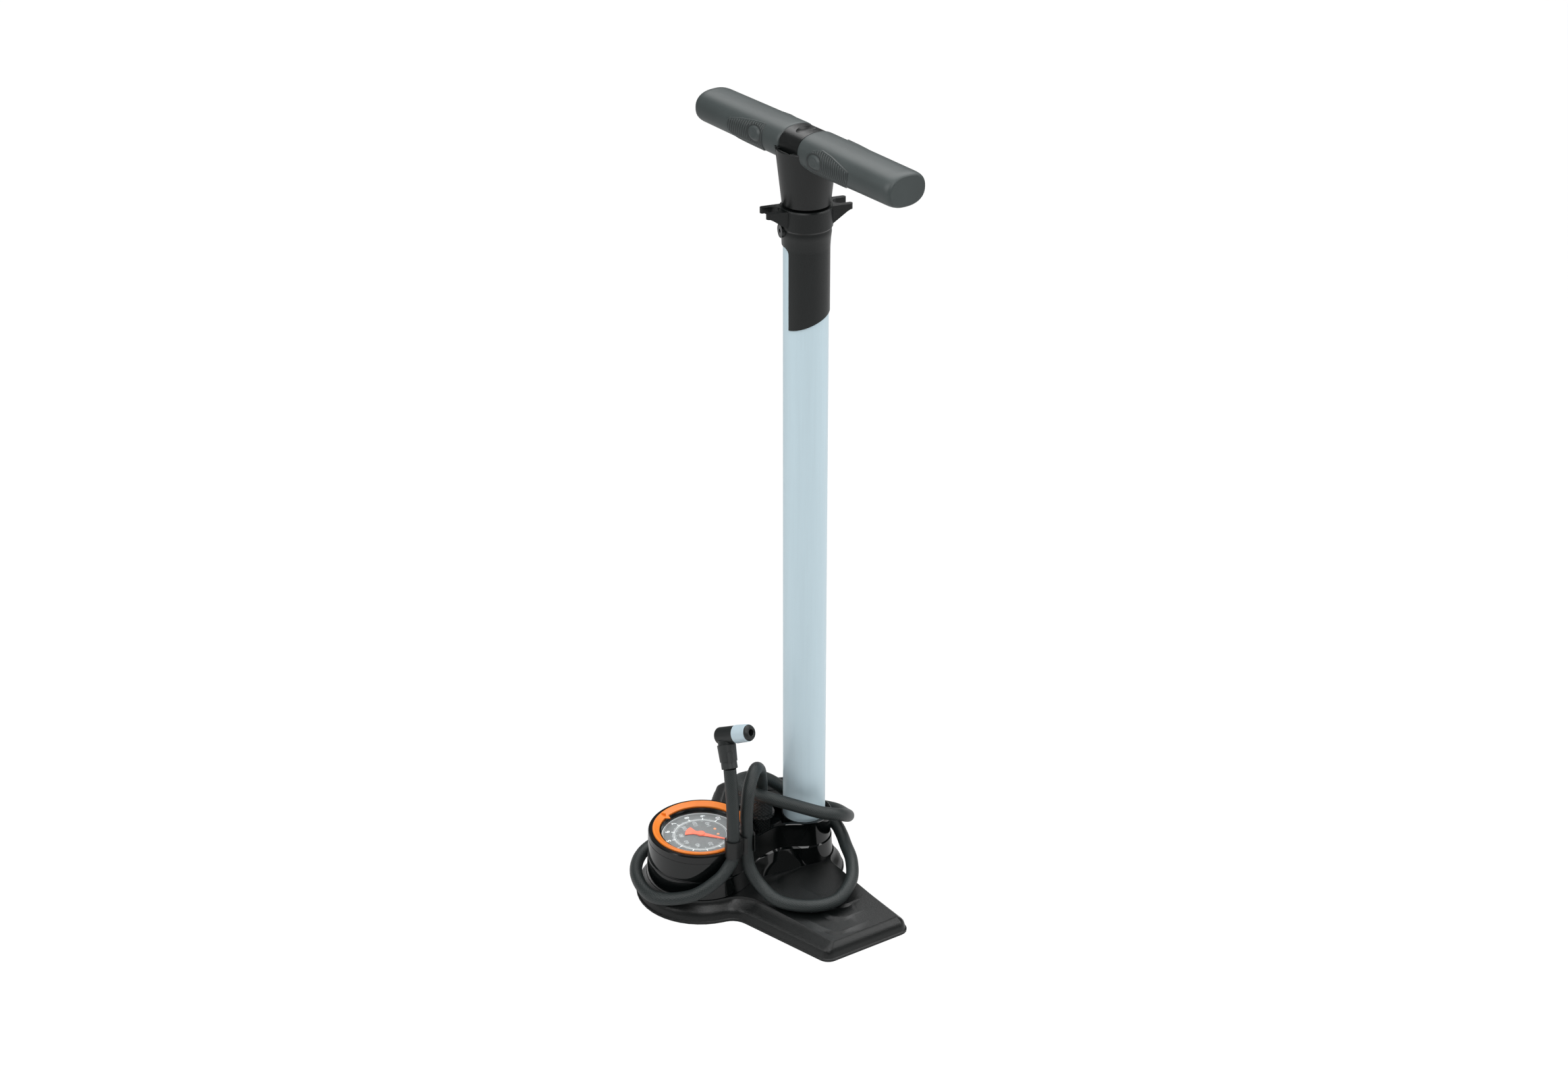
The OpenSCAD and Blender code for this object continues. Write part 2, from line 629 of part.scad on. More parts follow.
// Clip of two open rings, back to back, that holds two strands of the hose
clip_h = 15.6;
clip_a = [44.6, -66.8];
clip_b = [48.4, -79.9];
clip_z = 59.2;
clip_wall = 1.3;
clip_mouth = hose_d - 4;
module hose_clip() color([0.08, 0.08, 0.08]) {
    run_dir = unit(clip_b - clip_a);
    turn = atan2(run_dir.y, run_dir.x);
    span = norm(clip_b - clip_a);
    bore = hose_d / 2 + 0.4;
    translate([clip_a.x, clip_a.y, clip_z]) rotate([0, 0, turn]) linear_extrude(clip_h) difference() {
        union() {
            circle(bore + clip_wall);
            translate([span, 0]) circle(bore + clip_wall);
            translate([0, -3.5]) square([span, 7]);
        }
        circle(bore);
        translate([span, 0]) circle(bore);
        translate([-clip_mouth / 2, 0]) square([clip_mouth, 20]);
        translate([span - clip_mouth / 2, -20]) square([clip_mouth, 20]);
    }
}

// The valve head stands on the hose's end and leans back with it
head_lean = 30;
head_bearing = 176;
head_spin = 215;
module at_head() {
    translate(hose_end) rotate([0, head_lean, head_bearing]) rotate([0, 0, head_spin]) children();
}
socket_len = 9;
sleeve_top = 21;
sleeve_r = hose_d / 2 + 2.5;
socket_r = hose_d / 2 + 1.4;
neck_r = head_d / 2 - 0.4;
head_lift = sleeve_top + head_d / 2 - 0.8;
// Round-topped tongues of the socket that lock into the sleeve's lower edge
module head_tongues(grow) {
    for (a = [0, 180]) rotate([0, 0, head_tongue + a]) translate([0, 0, socket_len - 4]) rotate([90, 0, 0])
        linear_extrude(20) {
            translate([-2.3 - grow, 0]) square([4.6 + 2 * grow, 7]);
            translate([0, 7]) circle(2.3 + grow);
        }
}
module head_socket() color([0.1, 0.1, 0.1]) at_head() {
    difference() {
        union() {
            rotate_extrude() polygon([[0, 0], [socket_r - 0.4, 0], [socket_r, 0.4],
                [socket_r - 0.2, socket_len], [0, socket_len]]);
            intersection() {
                head_tongues(0);
                translate([0, 0, socket_len - 4]) cylinder(h = 14, r1 = sleeve_r - 0.7, r2 = sleeve_r - 0.2);
            }
        }
        translate([0, 0, -1]) cylinder(h = 3, r = hose_d / 2 + 2 * seat);
    }
}
// Sleeve whose lower edge is cut to fit round the socket's tongues
module head_sleeve() color([0.12, 0.12, 0.12]) at_head() difference() {
    rotate_extrude() polygon([[0, socket_len - 3], [sleeve_r - 0.6, socket_len - 3],
        [sleeve_r, sleeve_top - 1.4], [sleeve_r - 0.5, sleeve_top - 1], [0, sleeve_top - 1]]);
    translate([0, 0, -1]) cylinder(h = socket_len + 1 + seat, r = socket_r + seat);
    head_tongues(seat);
}
module along_head() { translate([0, 0, head_lift]) rotate([0, 90, 0]) children(); }
head_tongue = 54;
head_back = -head_d / 2;
band_at = head_back + head_len;
nozzle_len = 3;
nozzle_spigot = 3;
valve_r_in = 2.8;
spigot_r = 5;
band_r = head_d / 2 + 0.4;
module head_body() color([0.11, 0.11, 0.11]) at_head() difference() {
    union() {
        along_head() translate([0, 0, head_back]) rotate_extrude() polygon(concat(
            [[0, 0]], arc([head_d / 2 - 2.4, 2.4], 2.4, -90, 0, 4),
            [[head_d / 2, head_len], [0, head_len]]));
        translate([0, 0, sleeve_top - 1]) rotate_extrude() polygon(concat(
            [[0, 0], [neck_r, 0]],
            [for (a = [20:20:80]) [neck_r * cos(a) + 0.6, 1.6 + 6 * sin(a)]], [[0, 7.6]]));
    }
    along_head() translate([0, 0, head_back + 3]) cylinder(h = 100, r = spigot_r - 0.5);
}
module head_band() color([0.70, 0.80, 0.84]) at_head() along_head() {
    translate([0, 0, band_at]) rotate_extrude() polygon([[spigot_r, 0], [band_r - 0.3, 0], [band_r, 0.3],
        [band_r - 0.5, band_len - 0.3], [band_r - 0.8, band_len], [spigot_r, band_len]]);
}
module head_nozzle() color([0.09, 0.09, 0.09]) at_head() along_head() {
    translate([0, 0, band_at + band_len]) rotate_extrude() polygon([
        [valve_r_in, -nozzle_spigot], [spigot_r - seat, -nozzle_spigot], [spigot_r - seat, 0], [band_r - 1, 0],
        [band_r - 1, 1], [band_r - 1.6, 2], [band_r - 2.9, nozzle_len], [valve_r_in + 0.4, nozzle_len],
        [valve_r_in, nozzle_len - 0.4]]);
}
module head_seal() color([0.05, 0.05, 0.05]) at_head() along_head() {
    translate([0, 0, band_at + 1]) ring(spigot_r - seat, valve_r_in - 0.2, band_len - nozzle_spigot - 1 - seat);
}

// ---- Collar at the barrel's top ----

tongue_r = barrel_r + 0.9;
tongue_slant = 7;
skirt_z = collar_z - 15.5;
tongue_edge = 7.5;
// Thin skirt below the ring, with a long tongue on its +X side
module collar_sleeve() {
    difference() {
        rotate_extrude() polygon([
            [barrel_r + seat, collar_z - sleeve_len - 9], [tongue_r, collar_z - sleeve_len - 9],
            [tongue_r, collar_z - 18], [tongue_r + 0.4, collar_z - 11], [tongue_r + 1.1, collar_z - 5],
            [collar_r - 1.1, collar_z - 1.5], [collar_r, collar_z + 0.5], [barrel_r + seat, collar_z + 0.5]]);
        translate([0, 0, collar_z - sleeve_len]) rotate([atan2(tongue_slant, tongue_r), 0, 0])
            translate([-50, -50, -40]) cube([100, 100, 40]);
        translate([0, 0, skirt_z]) rotate([90, 0, 0]) linear_extrude(80, center = true) union() {
            translate([-50, -200]) square([50 + tongue_edge, 195]);
            translate([-50, -200]) square([50 + tongue_edge - 5, 200]);
            translate([tongue_edge - 5, -5]) circle(5);
        }
    }
}

lug_t = 4.5;
lug_w = lug_notch + 9;
lug_top = collar_top - 0.5;
gusset_t = 3.2;
// Forked lug for the hose, carried by a gusset under each prong
module hose_lug() {
    difference() {
        union() {
            translate([0, 0, lug_top - lug_t]) linear_extrude(lug_t) union() {
                translate([-lug_w / 2, -lug_reach + 2.4]) square([lug_w, lug_reach - 2.4]);
                for (s = [-1, 1]) translate([s * (lug_w / 2 - 2.4), -lug_reach + 2.4]) circle(2.4);
            }
            for (s = [-1, 1]) translate([s * (lug_w - gusset_t) / 2 - gusset_t / 2, 0, lug_top - lug_t])
                rotate([90, 0, 90]) linear_extrude(gusset_t) polygon([[-lug_reach + 2.4, 0.5], [0, 0.5],
                    [0, -10], [-collar_r + 3, -10], [-lug_reach + 5, -1.4], [-lug_reach + 2.4, 0]]);
        }
        translate([0, 0, lug_top - 40]) linear_extrude(60) union() {
            translate([0, -lug_reach + 8]) circle(lug_notch / 2);
            translate([-lug_notch / 2, -lug_reach - 5]) square([lug_notch, 13]);
        }
    }
}

screw_z = collar_z - 2.5;
screw_head = 4.2;
module collar() color([0.07, 0.07, 0.07]) {
    difference() {
        union() {
            rotate_extrude() polygon([
                [0, collar_z], [collar_r, collar_z], [collar_r, collar_top - 1], [collar_r - 1, collar_top],
                [0, collar_top]]);
            collar_sleeve();
            for (a = [0, 180]) rotate([0, 0, a]) hose_lug();
            translate([0, 0, screw_z]) rotate([90, 0, 0]) cylinder(h = collar_r + 0.8, r = screw_head + 1.3);
        }
        translate([0, 0, collar_z - 200]) cylinder(h = barrel_top - collar_z + 200, r = barrel_r + seat);
        translate([0, 0, barrel_top - bush_lap]) cylinder(h = 40, r = rod_r + 4 + seat);
        translate([0, -collar_r + 1.2, screw_z]) rotate([90, 0, 0]) cylinder(h = 10, r = screw_head + seat);
        translate([0, 0, screw_z]) rotate([90, 0, 0]) cylinder(h = 60, r = 1.6);
    }
}

module collar_screw() color([0.3, 0.3, 0.31]) {
    translate([0, 0, screw_z]) rotate([90, 0, 0]) difference() {
        union() {
            translate([0, 0, barrel_r + 0.2]) cylinder(h = collar_r - barrel_r - 1.2, r = 1.6);
            translate([0, 0, collar_r - 1.2]) cylinder(h = 2, r = screw_head);
        }
        translate([0, 0, collar_r - 0.4]) cylinder(h = 3, r = 1.8, $fn = 6);
    }
}

module rod_bush() color([0.85, 0.85, 0.82]) {
    translate([0, 0, barrel_top - bush_lap]) ring(rod_r + 4, rod_r + run, bush_lap + 3.8);
}

module rod_wiper() color([0.1, 0.1, 0.1]) {
    translate([0, 0, barrel_top + 3.8]) ring(rod_r + 4, rod_r + run, stem_z - gap - barrel_top - 3.8);
}

// ---- Piston, rod and handle ----

// The rod turns in the piston: its shoulder stands over the piston's web and a
// nut holds the web from below
web_z = piston_z + 7;
shoulder_z = piston_z + 16;
stud_r = rod_r - 1.5;
piston_nut_h = 5;
module piston() color([0.2, 0.2, 0.2]) {
    difference() {
        rotate_extrude() polygon([
            [0, piston_z], [bore_r - 0.6, piston_z], [bore_r - 0.6, piston_z + 6],
            [bore_r - 2.6, piston_z + 6], [bore_r - 2.6, piston_z + 9],
            [bore_r - 0.6, piston_z + 9], [bore_r - 0.6, piston_z + 12],
            [rod_r + 4, piston_z + 13], [rod_r + 4, piston_z + piston_len],
            [0, piston_z + piston_len]]);
        translate([0, 0, piston_z - 1]) cylinder(h = web_z - piston_z + 1, r = stud_r + 4.8);
        translate([0, 0, piston_z]) cylinder(h = piston_len, r = stud_r + run);
        translate([0, 0, shoulder_z]) cylinder(h = piston_len, r = rod_r + run);
    }
}

module piston_seal() color([0.06, 0.06, 0.06]) {
    translate([0, 0, piston_z + 6.1]) ring(bore_r - run, bore_r - 2.5, 2.8);
}

module piston_nut() color([0.7, 0.7, 0.72]) {
    translate([0, 0, web_z - gap - piston_nut_h]) difference() {
        cylinder(h = piston_nut_h, r = stud_r + 3.5, $fn = 6);
        translate([0, 0, -1]) cylinder(h = piston_nut_h + 2, r = stud_r);
    }
}

module piston_rod() color([0.75, 0.76, 0.77]) {
    translate([0, 0, shoulder_z + gap]) cylinder(h = rod_top - shoulder_z - gap, r = rod_r);
    translate([0, 0, piston_z + 1]) cylinder(h = shoulder_z - piston_z, r = stud_r);
}

nut_h = 6;
module rod_nut() color([0.7, 0.7, 0.7]) {
    translate([0, 0, rod_top - nut_h - 4]) difference() {
        cylinder(h = nut_h, r = rod_r + 3.6, $fn = 6);
        translate([0, 0, -1]) cylinder(h = nut_h + 2, r = rod_r);
    }
}

// Oval outline, half width a and half height b, a little squarer than an ellipse
function oval(a, b, n) = [for (i = [0:n - 1]) let(t = -360 * i / n, c = cos(t), s = sin(t))
    [a * sign(c) * pow(abs(c), 0.85), b * sign(s) * pow(abs(s), 0.85)]];

// The core: a conical stem that ends at the grips' middle, the hub between the
// grips and the bar inside them
stem_foot_r = 18.8;
stem_top_r = stem_foot_r + 0.11 * stem_h;
grip_in = 11.7;
hub_w = grip_w - 1.6;
hub_h = grip_h - 1.2;
bar_w = grip_w - 9;
bar_h = grip_h - 9;
bar_len = handle_len - 7;
pocket_h = 3.2;
pocket_w = 16;
module handle_frame() { translate([0, 0, handle_z]) rotate([0, 0, handle_turn]) children(); }
module along_handle() { handle_frame() rotate([90, 0, 90]) children(); }
module stem() {
    translate([0, 0, stem_z]) rotate_extrude() polygon([[0, 0], [stem_foot_r - 0.5, 0],
        [stem_foot_r, 0.5], [stem_top_r, stem_h - 0.8], [stem_top_r - 0.8, stem_h], [0, stem_h]]);
}
// Finger dent across the hub's top, half of a spindle
module hub_dent() {
    handle_frame() translate([0, 0, hub_h / 2 + 1.2]) rotate([90, 0, 0]) rotate_extrude() intersection() {
        translate([-14.5, 0]) circle(19.5);
        translate([0, -20]) square([20, 40]);
    }
}
module handle_core() color([0.11, 0.12, 0.12]) {
    difference() {
        union() {
            difference() {
                stem();
                // pockets that open between the stem's wall and the hub, and a slit in the wall
                for (a = [0, 180]) handle_frame() rotate([0, 0, a]) {
                    translate([-pocket_w / 2, -stem_top_r + 1.8, -pocket_h])
                        cube([pocket_w, stem_top_r - hub_w / 2 + 2, pocket_h + 1]);
                    translate([-pocket_w / 2 - 2.4, -stem_top_r - 2, -12]) cube([1.3, 6, 14]);
                }
            }
            along_handle() translate([0, 0, -grip_in + gap]) linear_extrude(2 * (grip_in - gap))
                polygon(oval(hub_w / 2, hub_h / 2, 48));
            along_handle() translate([0, 0, -bar_len / 2]) linear_extrude(bar_len)
                polygon(oval(bar_w / 2, bar_h / 2, 32));
        }
        hub_dent();
        translate([0, 0, stem_z - 1]) cylinder(h = rod_top - stem_z + 1 + seat, r = rod_r + seat);
        translate([0, 0, rod_top - nut_h - 4 - seat]) cylinder(h = nut_h + 2 * seat, r = rod_r + 3.7, $fn = 6);
    }
}

// A grip is an oval sleeve, rounded over at both ends, that seats on the stem
grip_thin = 0.93;
grip_nose = [[0, 0.94], [0.5, 0.975], [1.6, 0.995], [3.5, 1]];
grip_end = [[7, 1], [4, 0.985], [2, 0.955], [0.8, 0.915], [0.2, 0.87], [0, 0.84]];
module grip() {
    out = handle_len / 2;
    rings = concat([for (e = grip_nose) [grip_in + e[0], e[1]]], [[mix(grip_in, out, 0.5), 1]],
                   [for (e = grip_end) [out - e[0], e[1]]]);
    difference() {
        along_handle() skin([for (e = rings)
            let(h = grip_h / 2 * mix(1, grip_thin, (e[0] - grip_in) / (out - grip_in)))
            [for (q = oval(grip_w / 2 * e[1], h * e[1], 48)) [q.x, q.y, e[0]]]]);
        along_handle() linear_extrude(bar_len / 2 + seat)
            polygon(oval(bar_w / 2 + seat, bar_h / 2 + seat, 32));
        translate([0, 0, stem_z - 5]) rotate_extrude() polygon([[0, 0], [stem_foot_r + seat, 0],
            [stem_top_r + seat, stem_h + 5 + seat], [0, stem_h + 5 + seat]]);
    }
}
module grip_right() color([0.32, 0.35, 0.34]) grip();
module grip_left() color([0.32, 0.35, 0.34]) rotate([0, 0, 180]) grip();

base_plate();
housing();
housing_screws();
barrel();
barrel_foot();
foot_seal();
check_valve();
valve_spring();
gauge_case();
gauge_lens();
lens_ring();
gauge_dial();
gauge_movement();
bourdon_tube();
gauge_needle();
gauge_bezel();
hose_fitting();
hose();
hose_clip();
head_socket();
head_sleeve();
head_body();
head_band();
head_nozzle();
head_seal();
collar();
collar_screw();
rod_bush();
rod_wiper();
piston();
piston_seal();
piston_nut();
piston_rod();
rod_nut();
handle_core();
grip_right();
grip_left();
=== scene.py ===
# %% [markdown]
# # A floor bike pump
# The pump's solids come from its CAD model, at their real size, and they stay where they are.
# This lesson dresses them: it lays the hose, prints the gauge's dial, gives every piece its
# finish, and sets up a plain studio. Lengths in Blender are metres, and +Z is up. What a maker
# would measure in millimetres is written in millimetres here, and MM turns it to metres.

# %% Load the frame
import math

import bmesh
import bpy
from mathutils import Matrix, Vector


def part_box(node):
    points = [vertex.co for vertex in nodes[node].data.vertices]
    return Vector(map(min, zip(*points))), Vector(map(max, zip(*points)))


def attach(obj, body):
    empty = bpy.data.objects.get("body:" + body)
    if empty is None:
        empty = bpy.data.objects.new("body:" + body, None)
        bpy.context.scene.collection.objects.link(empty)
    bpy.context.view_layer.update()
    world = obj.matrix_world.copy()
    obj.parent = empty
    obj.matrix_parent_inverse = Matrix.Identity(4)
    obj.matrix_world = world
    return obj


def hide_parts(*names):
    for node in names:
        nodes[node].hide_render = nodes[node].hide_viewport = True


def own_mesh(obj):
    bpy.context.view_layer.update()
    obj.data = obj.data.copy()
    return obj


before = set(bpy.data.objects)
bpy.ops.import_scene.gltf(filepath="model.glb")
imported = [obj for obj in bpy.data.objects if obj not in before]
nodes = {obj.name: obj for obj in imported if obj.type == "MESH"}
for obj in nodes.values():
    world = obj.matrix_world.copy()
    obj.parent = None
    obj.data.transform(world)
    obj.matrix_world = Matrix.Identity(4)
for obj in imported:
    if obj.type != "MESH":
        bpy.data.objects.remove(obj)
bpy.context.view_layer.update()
MM = 0.001

# %% [markdown]
# ## The camera
# A long lens from above and to one side keeps the upright barrel straight. The camera looks
# at the pump from an azimuth, counted from the gauge's side, and an elevation over the floor.
# The lamps are placed and turned in the same way later on.

# %% Camera
CAMERA_PLACE = Vector((1.970, -0.740, 1.411))
CAMERA_AZIMUTH = math.radians(69.87)
CAMERA_ELEVATION = math.radians(27.48)
LENS_MM = 68.0


def towards(azimuth, elevation):
    """The unit vector from the object to a viewer at that azimuth and elevation."""
    flat = math.cos(elevation)
    return Vector((math.sin(azimuth) * flat, -math.cos(azimuth) * flat, math.sin(elevation)))


def place_object(name, data):
    """An object with this data, put into the scene at the origin."""
    made = bpy.data.objects.new(name, data)
    bpy.context.scene.collection.objects.link(made)
    return made


def look_along(thing, direction):
    """Turns a camera or a lamp to look along a direction, with its top up."""
    thing.rotation_euler = direction.to_track_quat("-Z", "Y").to_euler()


camera_data = bpy.data.cameras.new("studio_camera")
camera_data.lens = LENS_MM
camera = place_object("studio_camera", camera_data)
camera.location = CAMERA_PLACE
look_along(camera, -towards(CAMERA_AZIMUTH, CAMERA_ELEVATION))
bpy.context.scene.camera = camera
print("camera at", tuple(round(x, 3) for x in camera.location))

# %% [markdown]
# ## The hose
# A rubber hose has one length, and it keeps a round section wherever it bends. Its resting
# route is a given list of points. A smooth curve through them, thickened by the
# curve's own bevel, makes the tube, and turning it into a mesh keeps a UV map whose two
# directions run along the hose and round it, which the woven finish needs.

# %% Route of the hose
HOSE_D = 0.0106
STEPS_BETWEEN_POINTS = 8
HOSE_ROUTE_MM = [
    (0, -38, 63.6), (0, -38, 76), (0, -38, 86), (1.4, -38.8, 95), (8, -42.6, 110), (21, -51, 119),
    (35, -61, 112), (42.4, -66, 93), (44.6, -66.8, 77), (44.6, -66.8, 57), (48.5, -65.5, 43),
    (58, -59, 30), (74, -48, 22.5), (88, -26, 21.9), (88, -4, 23), (76, 13, 30), (57, 21, 36),
    (36, 24, 38), (17, 27, 38), (-3, 29, 35), (-22, 21, 37), (-32, 2, 52), (-35, -22, 72),
    (-26, -46, 82), (-7, -55, 86), (11, -42, 86), (25, -20, 81), (37, 1, 76), (38, 17, 71),
    (26, 29, 60), (5, 36, 47), (-20, 33, 39), (-43, 12, 34), (-57, -22, 29), (-63, -62, 25),
    (-57, -100, 20), (-39, -131, 19), (-8, -146, 19), (27, -142, 19), (47.5, -117, 27),
    (51.8, -95.5, 40), (49.6, -84.6, 49.5), (48.4, -80, 58.5), (48.4, -79.8, 77),
    (45.6, -78.8, 93), (40, -77.6, 111), (33.3, -77, 133)]
hose_points = [Vector(p) * MM for p in HOSE_ROUTE_MM]


def through(points, steps):
    """A Catmull-Rom curve through the points, with some steps between each pair."""
    ends = [2 * points[0] - points[1]] + points + [2 * points[-1] - points[-2]]
    line = []
    for a, b, c, d in zip(ends, ends[1:], ends[2:], ends[3:]):
        for k in range(steps):
            t = k / steps
            line.append(0.5 * (2 * b + (c - a) * t + (2 * a - 5 * b + 4 * c - d) * t * t
                               + (3 * b - a - 3 * c + d) * t ** 3))
    return line + [points[-1]]


hose_line = through(hose_points, STEPS_BETWEEN_POINTS)
hose_length = sum((b - a).length for a, b in zip(hose_line, hose_line[1:]))
print("hose length", round(hose_length, 4))


# %% Sweep the hose
def tube(name, line, radius, sides):
    """A round tube along a line, as a mesh with a UV map along and round it."""
    curve = bpy.data.curves.new(name, "CURVE")
    curve.dimensions = "3D"
    curve.bevel_depth = radius
    curve.bevel_resolution = sides // 2 - 2
    curve.use_fill_caps = True
    spline = curve.splines.new("POLY")
    spline.points.add(len(line) - 1)
    for point, place in zip(spline.points, line):
        point.co = (*place, 1.0)
    swept = bpy.data.objects.new(name, curve)
    mesh = bpy.data.meshes.new_from_object(swept)
    bpy.data.objects.remove(swept)
    mesh.shade_smooth()
    return place_object(name, mesh)


hose = tube("woven_hose", hose_line, HOSE_D / 2, sides=24)
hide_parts("hose")
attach(hose, "pump_body")
print("hose faces", len(hose.data.polygons))

# %% [markdown]
# ## Making a finish
# A finish is a small tree of nodes. One helper adds a node, sets it and links what feeds it.
# Colours are written as the hex values of a paint chart, and turned to the linear values
# that the shader works in. No real surface has one even colour, so most finishes share the
# same faint clouds: a noise of a real size that slides the colour a few per cent up and down.


# %% Helpers for finishes
def linear(hex_colour):
    """The linear RGBA of an sRGB hex colour such as '#1F2323'."""
    parts = [int(hex_colour[i:i + 2], 16) / 255 for i in (1, 3, 5)]
    return tuple(c / 12.92 if c <= 0.04045 else ((c + 0.055) / 1.055) ** 2.4
                 for c in parts) + (1.0,)


def add(tree, kind, feeds=None, **settings):
    """One shader node with its settings; feeds are values or sockets for its inputs."""
    made = tree.nodes.new("ShaderNode" + kind)
    for name, value in settings.items():
        setattr(made, name, value)
    for name, value in (feeds or {}).items():
        if isinstance(value, bpy.types.NodeSocket):
            tree.links.new(value, made.inputs[name])
        else:
            made.inputs[name].default_value = value
    return made


def start_finish(name, **values):
    """A new material, its node tree and its shader, with values on the shader's sockets."""
    material = bpy.data.materials.new(name)
    material.use_nodes = True
    tree = material.node_tree
    shader = tree.nodes["Principled BSDF"]
    for key, value in values.items():
        shader.inputs[key.replace("_", " ")].default_value = value
    return material, tree, shader


def own_place(tree):
    """The piece's own coordinates, in metres."""
    return add(tree, "TexCoord").outputs["Object"]


def cloud(tree, shader, place, size_mm, detail, colour, darkest, lightest, low=0.0, high=1.0):
    """Lets the base colour drift between two shares of itself, in clouds of a real size."""
    noise = add(tree, "TexNoise", {"Vector": place, "Scale": 1 / (size_mm * MM),
                                   "Detail": detail})
    tone = add(tree, "ValToRGB", {"Fac": noise.outputs["Fac"]})
    for stop, position, share in zip(tone.color_ramp.elements, (low, high), (darkest, lightest)):
        stop.position = position
        stop.color = [min(1.0, c * share) for c in linear(colour)[:3]] + [1.0]
    tree.links.new(tone.outputs["Color"], shader.inputs["Base Color"])


def dress(finish, *node_names):
    """Puts a finish on every material slot of the CAD nodes."""
    for node_name in node_names:
        mesh = nodes[node_name].data
        if not mesh.materials:
            mesh.materials.append(finish)
        for index in range(len(mesh.materials)):
            mesh.materials[index] = finish
    print(finish.name, "on", ", ".join(node_names))


print("a mid grey is", round(linear("#808080")[0], 3), "of white in linear light")

# %% [markdown]
# ## Smooth skins
# A CAD mesh arrives as loose flat triangles, and a glossy skin shows every one of them. Welding
# their corners and letting the shading run across all but the sharp edges gives the continuous
# reflections of a moulding. Modifiers do both, so the CAD mesh itself stays untouched.

# %% Weld and keep the sharp edges
WELD_DISTANCE = 0.002 * MM
SHARP_EDGE = math.radians(28)


def smooth_skin(piece):
    """Rounds the shading of a CAD node, and keeps its sharp edges."""
    weld = piece.modifiers.new("weld_corners", "WELD")
    weld.merge_threshold = WELD_DISTANCE
    edges = piece.modifiers.new("keep_sharp_edges", "EDGE_SPLIT")
    edges.split_angle = SHARP_EDGE
    edges.use_edge_sharp = False
    piece.data.shade_smooth()
    even = piece.modifiers.new("even_shading", "WEIGHTED_NORMAL")
    even.mode = "FACE_AREA_WITH_ANGLE"


for piece in nodes.values():
    smooth_skin(piece)
print("smoothed", len(nodes), "nodes")

# %% [markdown]
# ## Moulded plastic
# Most of the pump is injection-moulded plastic. The mould decides the surface: a polished
# mould gives a gloss like lacquer, and a spark-eroded one leaves a fine even grain that
# scatters the light. Both are dark, so what the eye reads is mostly their reflections. A bump
# is enough for the grain, because it is far too shallow to change an outline.

# %% Plastics
PLASTIC_CLOUD_MM = 45


def moulded(name, colour, roughness, grain_mm, depth_mm, fleck=0.0):
    """Moulded plastic with the grain of its mould; fleck lightens the clouds' high spots."""
    material, tree, shader = start_finish(name, Roughness=roughness, IOR=1.5)
    place = own_place(tree)
    cloud(tree, shader, place, PLASTIC_CLOUD_MM, 3.0, colour, 0.88, 1.06 + fleck, 0.35, 0.65)
    grain = add(tree, "TexNoise", {"Vector": place, "Scale": 1 / (grain_mm * MM), "Detail": 2.0,
                                   "Roughness": 0.6})
    bump = add(tree, "Bump", {"Height": grain.outputs["Fac"], "Strength": 0.8,
                              "Distance": depth_mm * MM})
    tree.links.new(bump.outputs["Normal"], shader.inputs["Normal"])
    return material


# Spark-eroded polypropylene: a dry grain that spreads every lamp into a grey haze. Such a
# grain is a few tenths of a millimetre wide, and it is drawn at 0.7 mm so that it shows.
dress(moulded("spark_eroded_polypropylene", "#0B0E0E", 0.30, 0.7, 0.18, fleck=0.1),
      "base_plate")
# ABS from a polished mould: almost a black mirror, barely wavy over 12 mm.
dress(moulded("polished_black_abs", "#070A0A", 0.07, 12.0, 0.01), "housing")
# The same ABS, a little less polished: a clear but soft line of light round the gauge.
dress(moulded("gauge_rim_abs", "#0B0D0D", 0.16, 0.8, 0.02), "gauge_case", "lens_ring")
# Nylon from an etched mould: broad dull highlights that follow each lug and edge.
dress(moulded("collar_nylon", "#0E1212", 0.29, 0.6, 0.1, fleck=0.15), "collar")
dress(moulded("handle_nylon", "#0D1010", 0.31, 0.6, 0.1, fleck=0.15), "handle_core")
dress(moulded("clip_nylon", "#0B0E0E", 0.38, 0.6, 0.04), "hose_clip")
dress(moulded("valve_head_nylon", "#1C2020", 0.4, 0.6, 0.04), "head_body", "head_nozzle")
# Acetal inside the pump: dense and waxy, dark where it is dyed and ivory where it isn't.
dress(moulded("piston_acetal", "#3A3B3C", 0.4, 0.9, 0.03), "piston", "barrel_foot")
dress(moulded("natural_acetal", "#D8D6CC", 0.35, 0.9, 0.03), "rod_bush")

# %% [markdown]
# ## Pale blue lacquer
# The barrel is a drawn aluminium tube under a satin lacquer. A little metal in the shader
# gives the soft silvery turn from light to shade that a flat paint lacks, and a noise that is
# stretched along the tube leaves a trace of the drawing marks below.

# %% Lacquer
DRAWN_MM = 2.5
DRAWN_SQUEEZE = 0.03


def lacquered(name, colour, metal_share):
    """Satin lacquer: a blurred body colour under a thin, clearer coat."""
    material, tree, shader = start_finish(name, Metallic=metal_share, Roughness=0.4,
                                          Coat_Weight=0.1, Coat_Roughness=0.2)
    drawn = add(tree, "Mapping", {"Vector": own_place(tree), "Scale": (1, 1, DRAWN_SQUEEZE)})
    cloud(tree, shader, drawn.outputs["Vector"], DRAWN_MM, 3.0, colour, 0.95, 1.04)
    return material


# On the tube the lacquer reads as one long even gradient, and on the small band as a bright
# ring between dark neighbours, so the band's colour is a little deeper.
dress(lacquered("satin_blue_lacquer", "#CBE0E9", 0.05), "barrel")
dress(lacquered("satin_blue_band", "#C0D3DC", 0.1), "head_band")

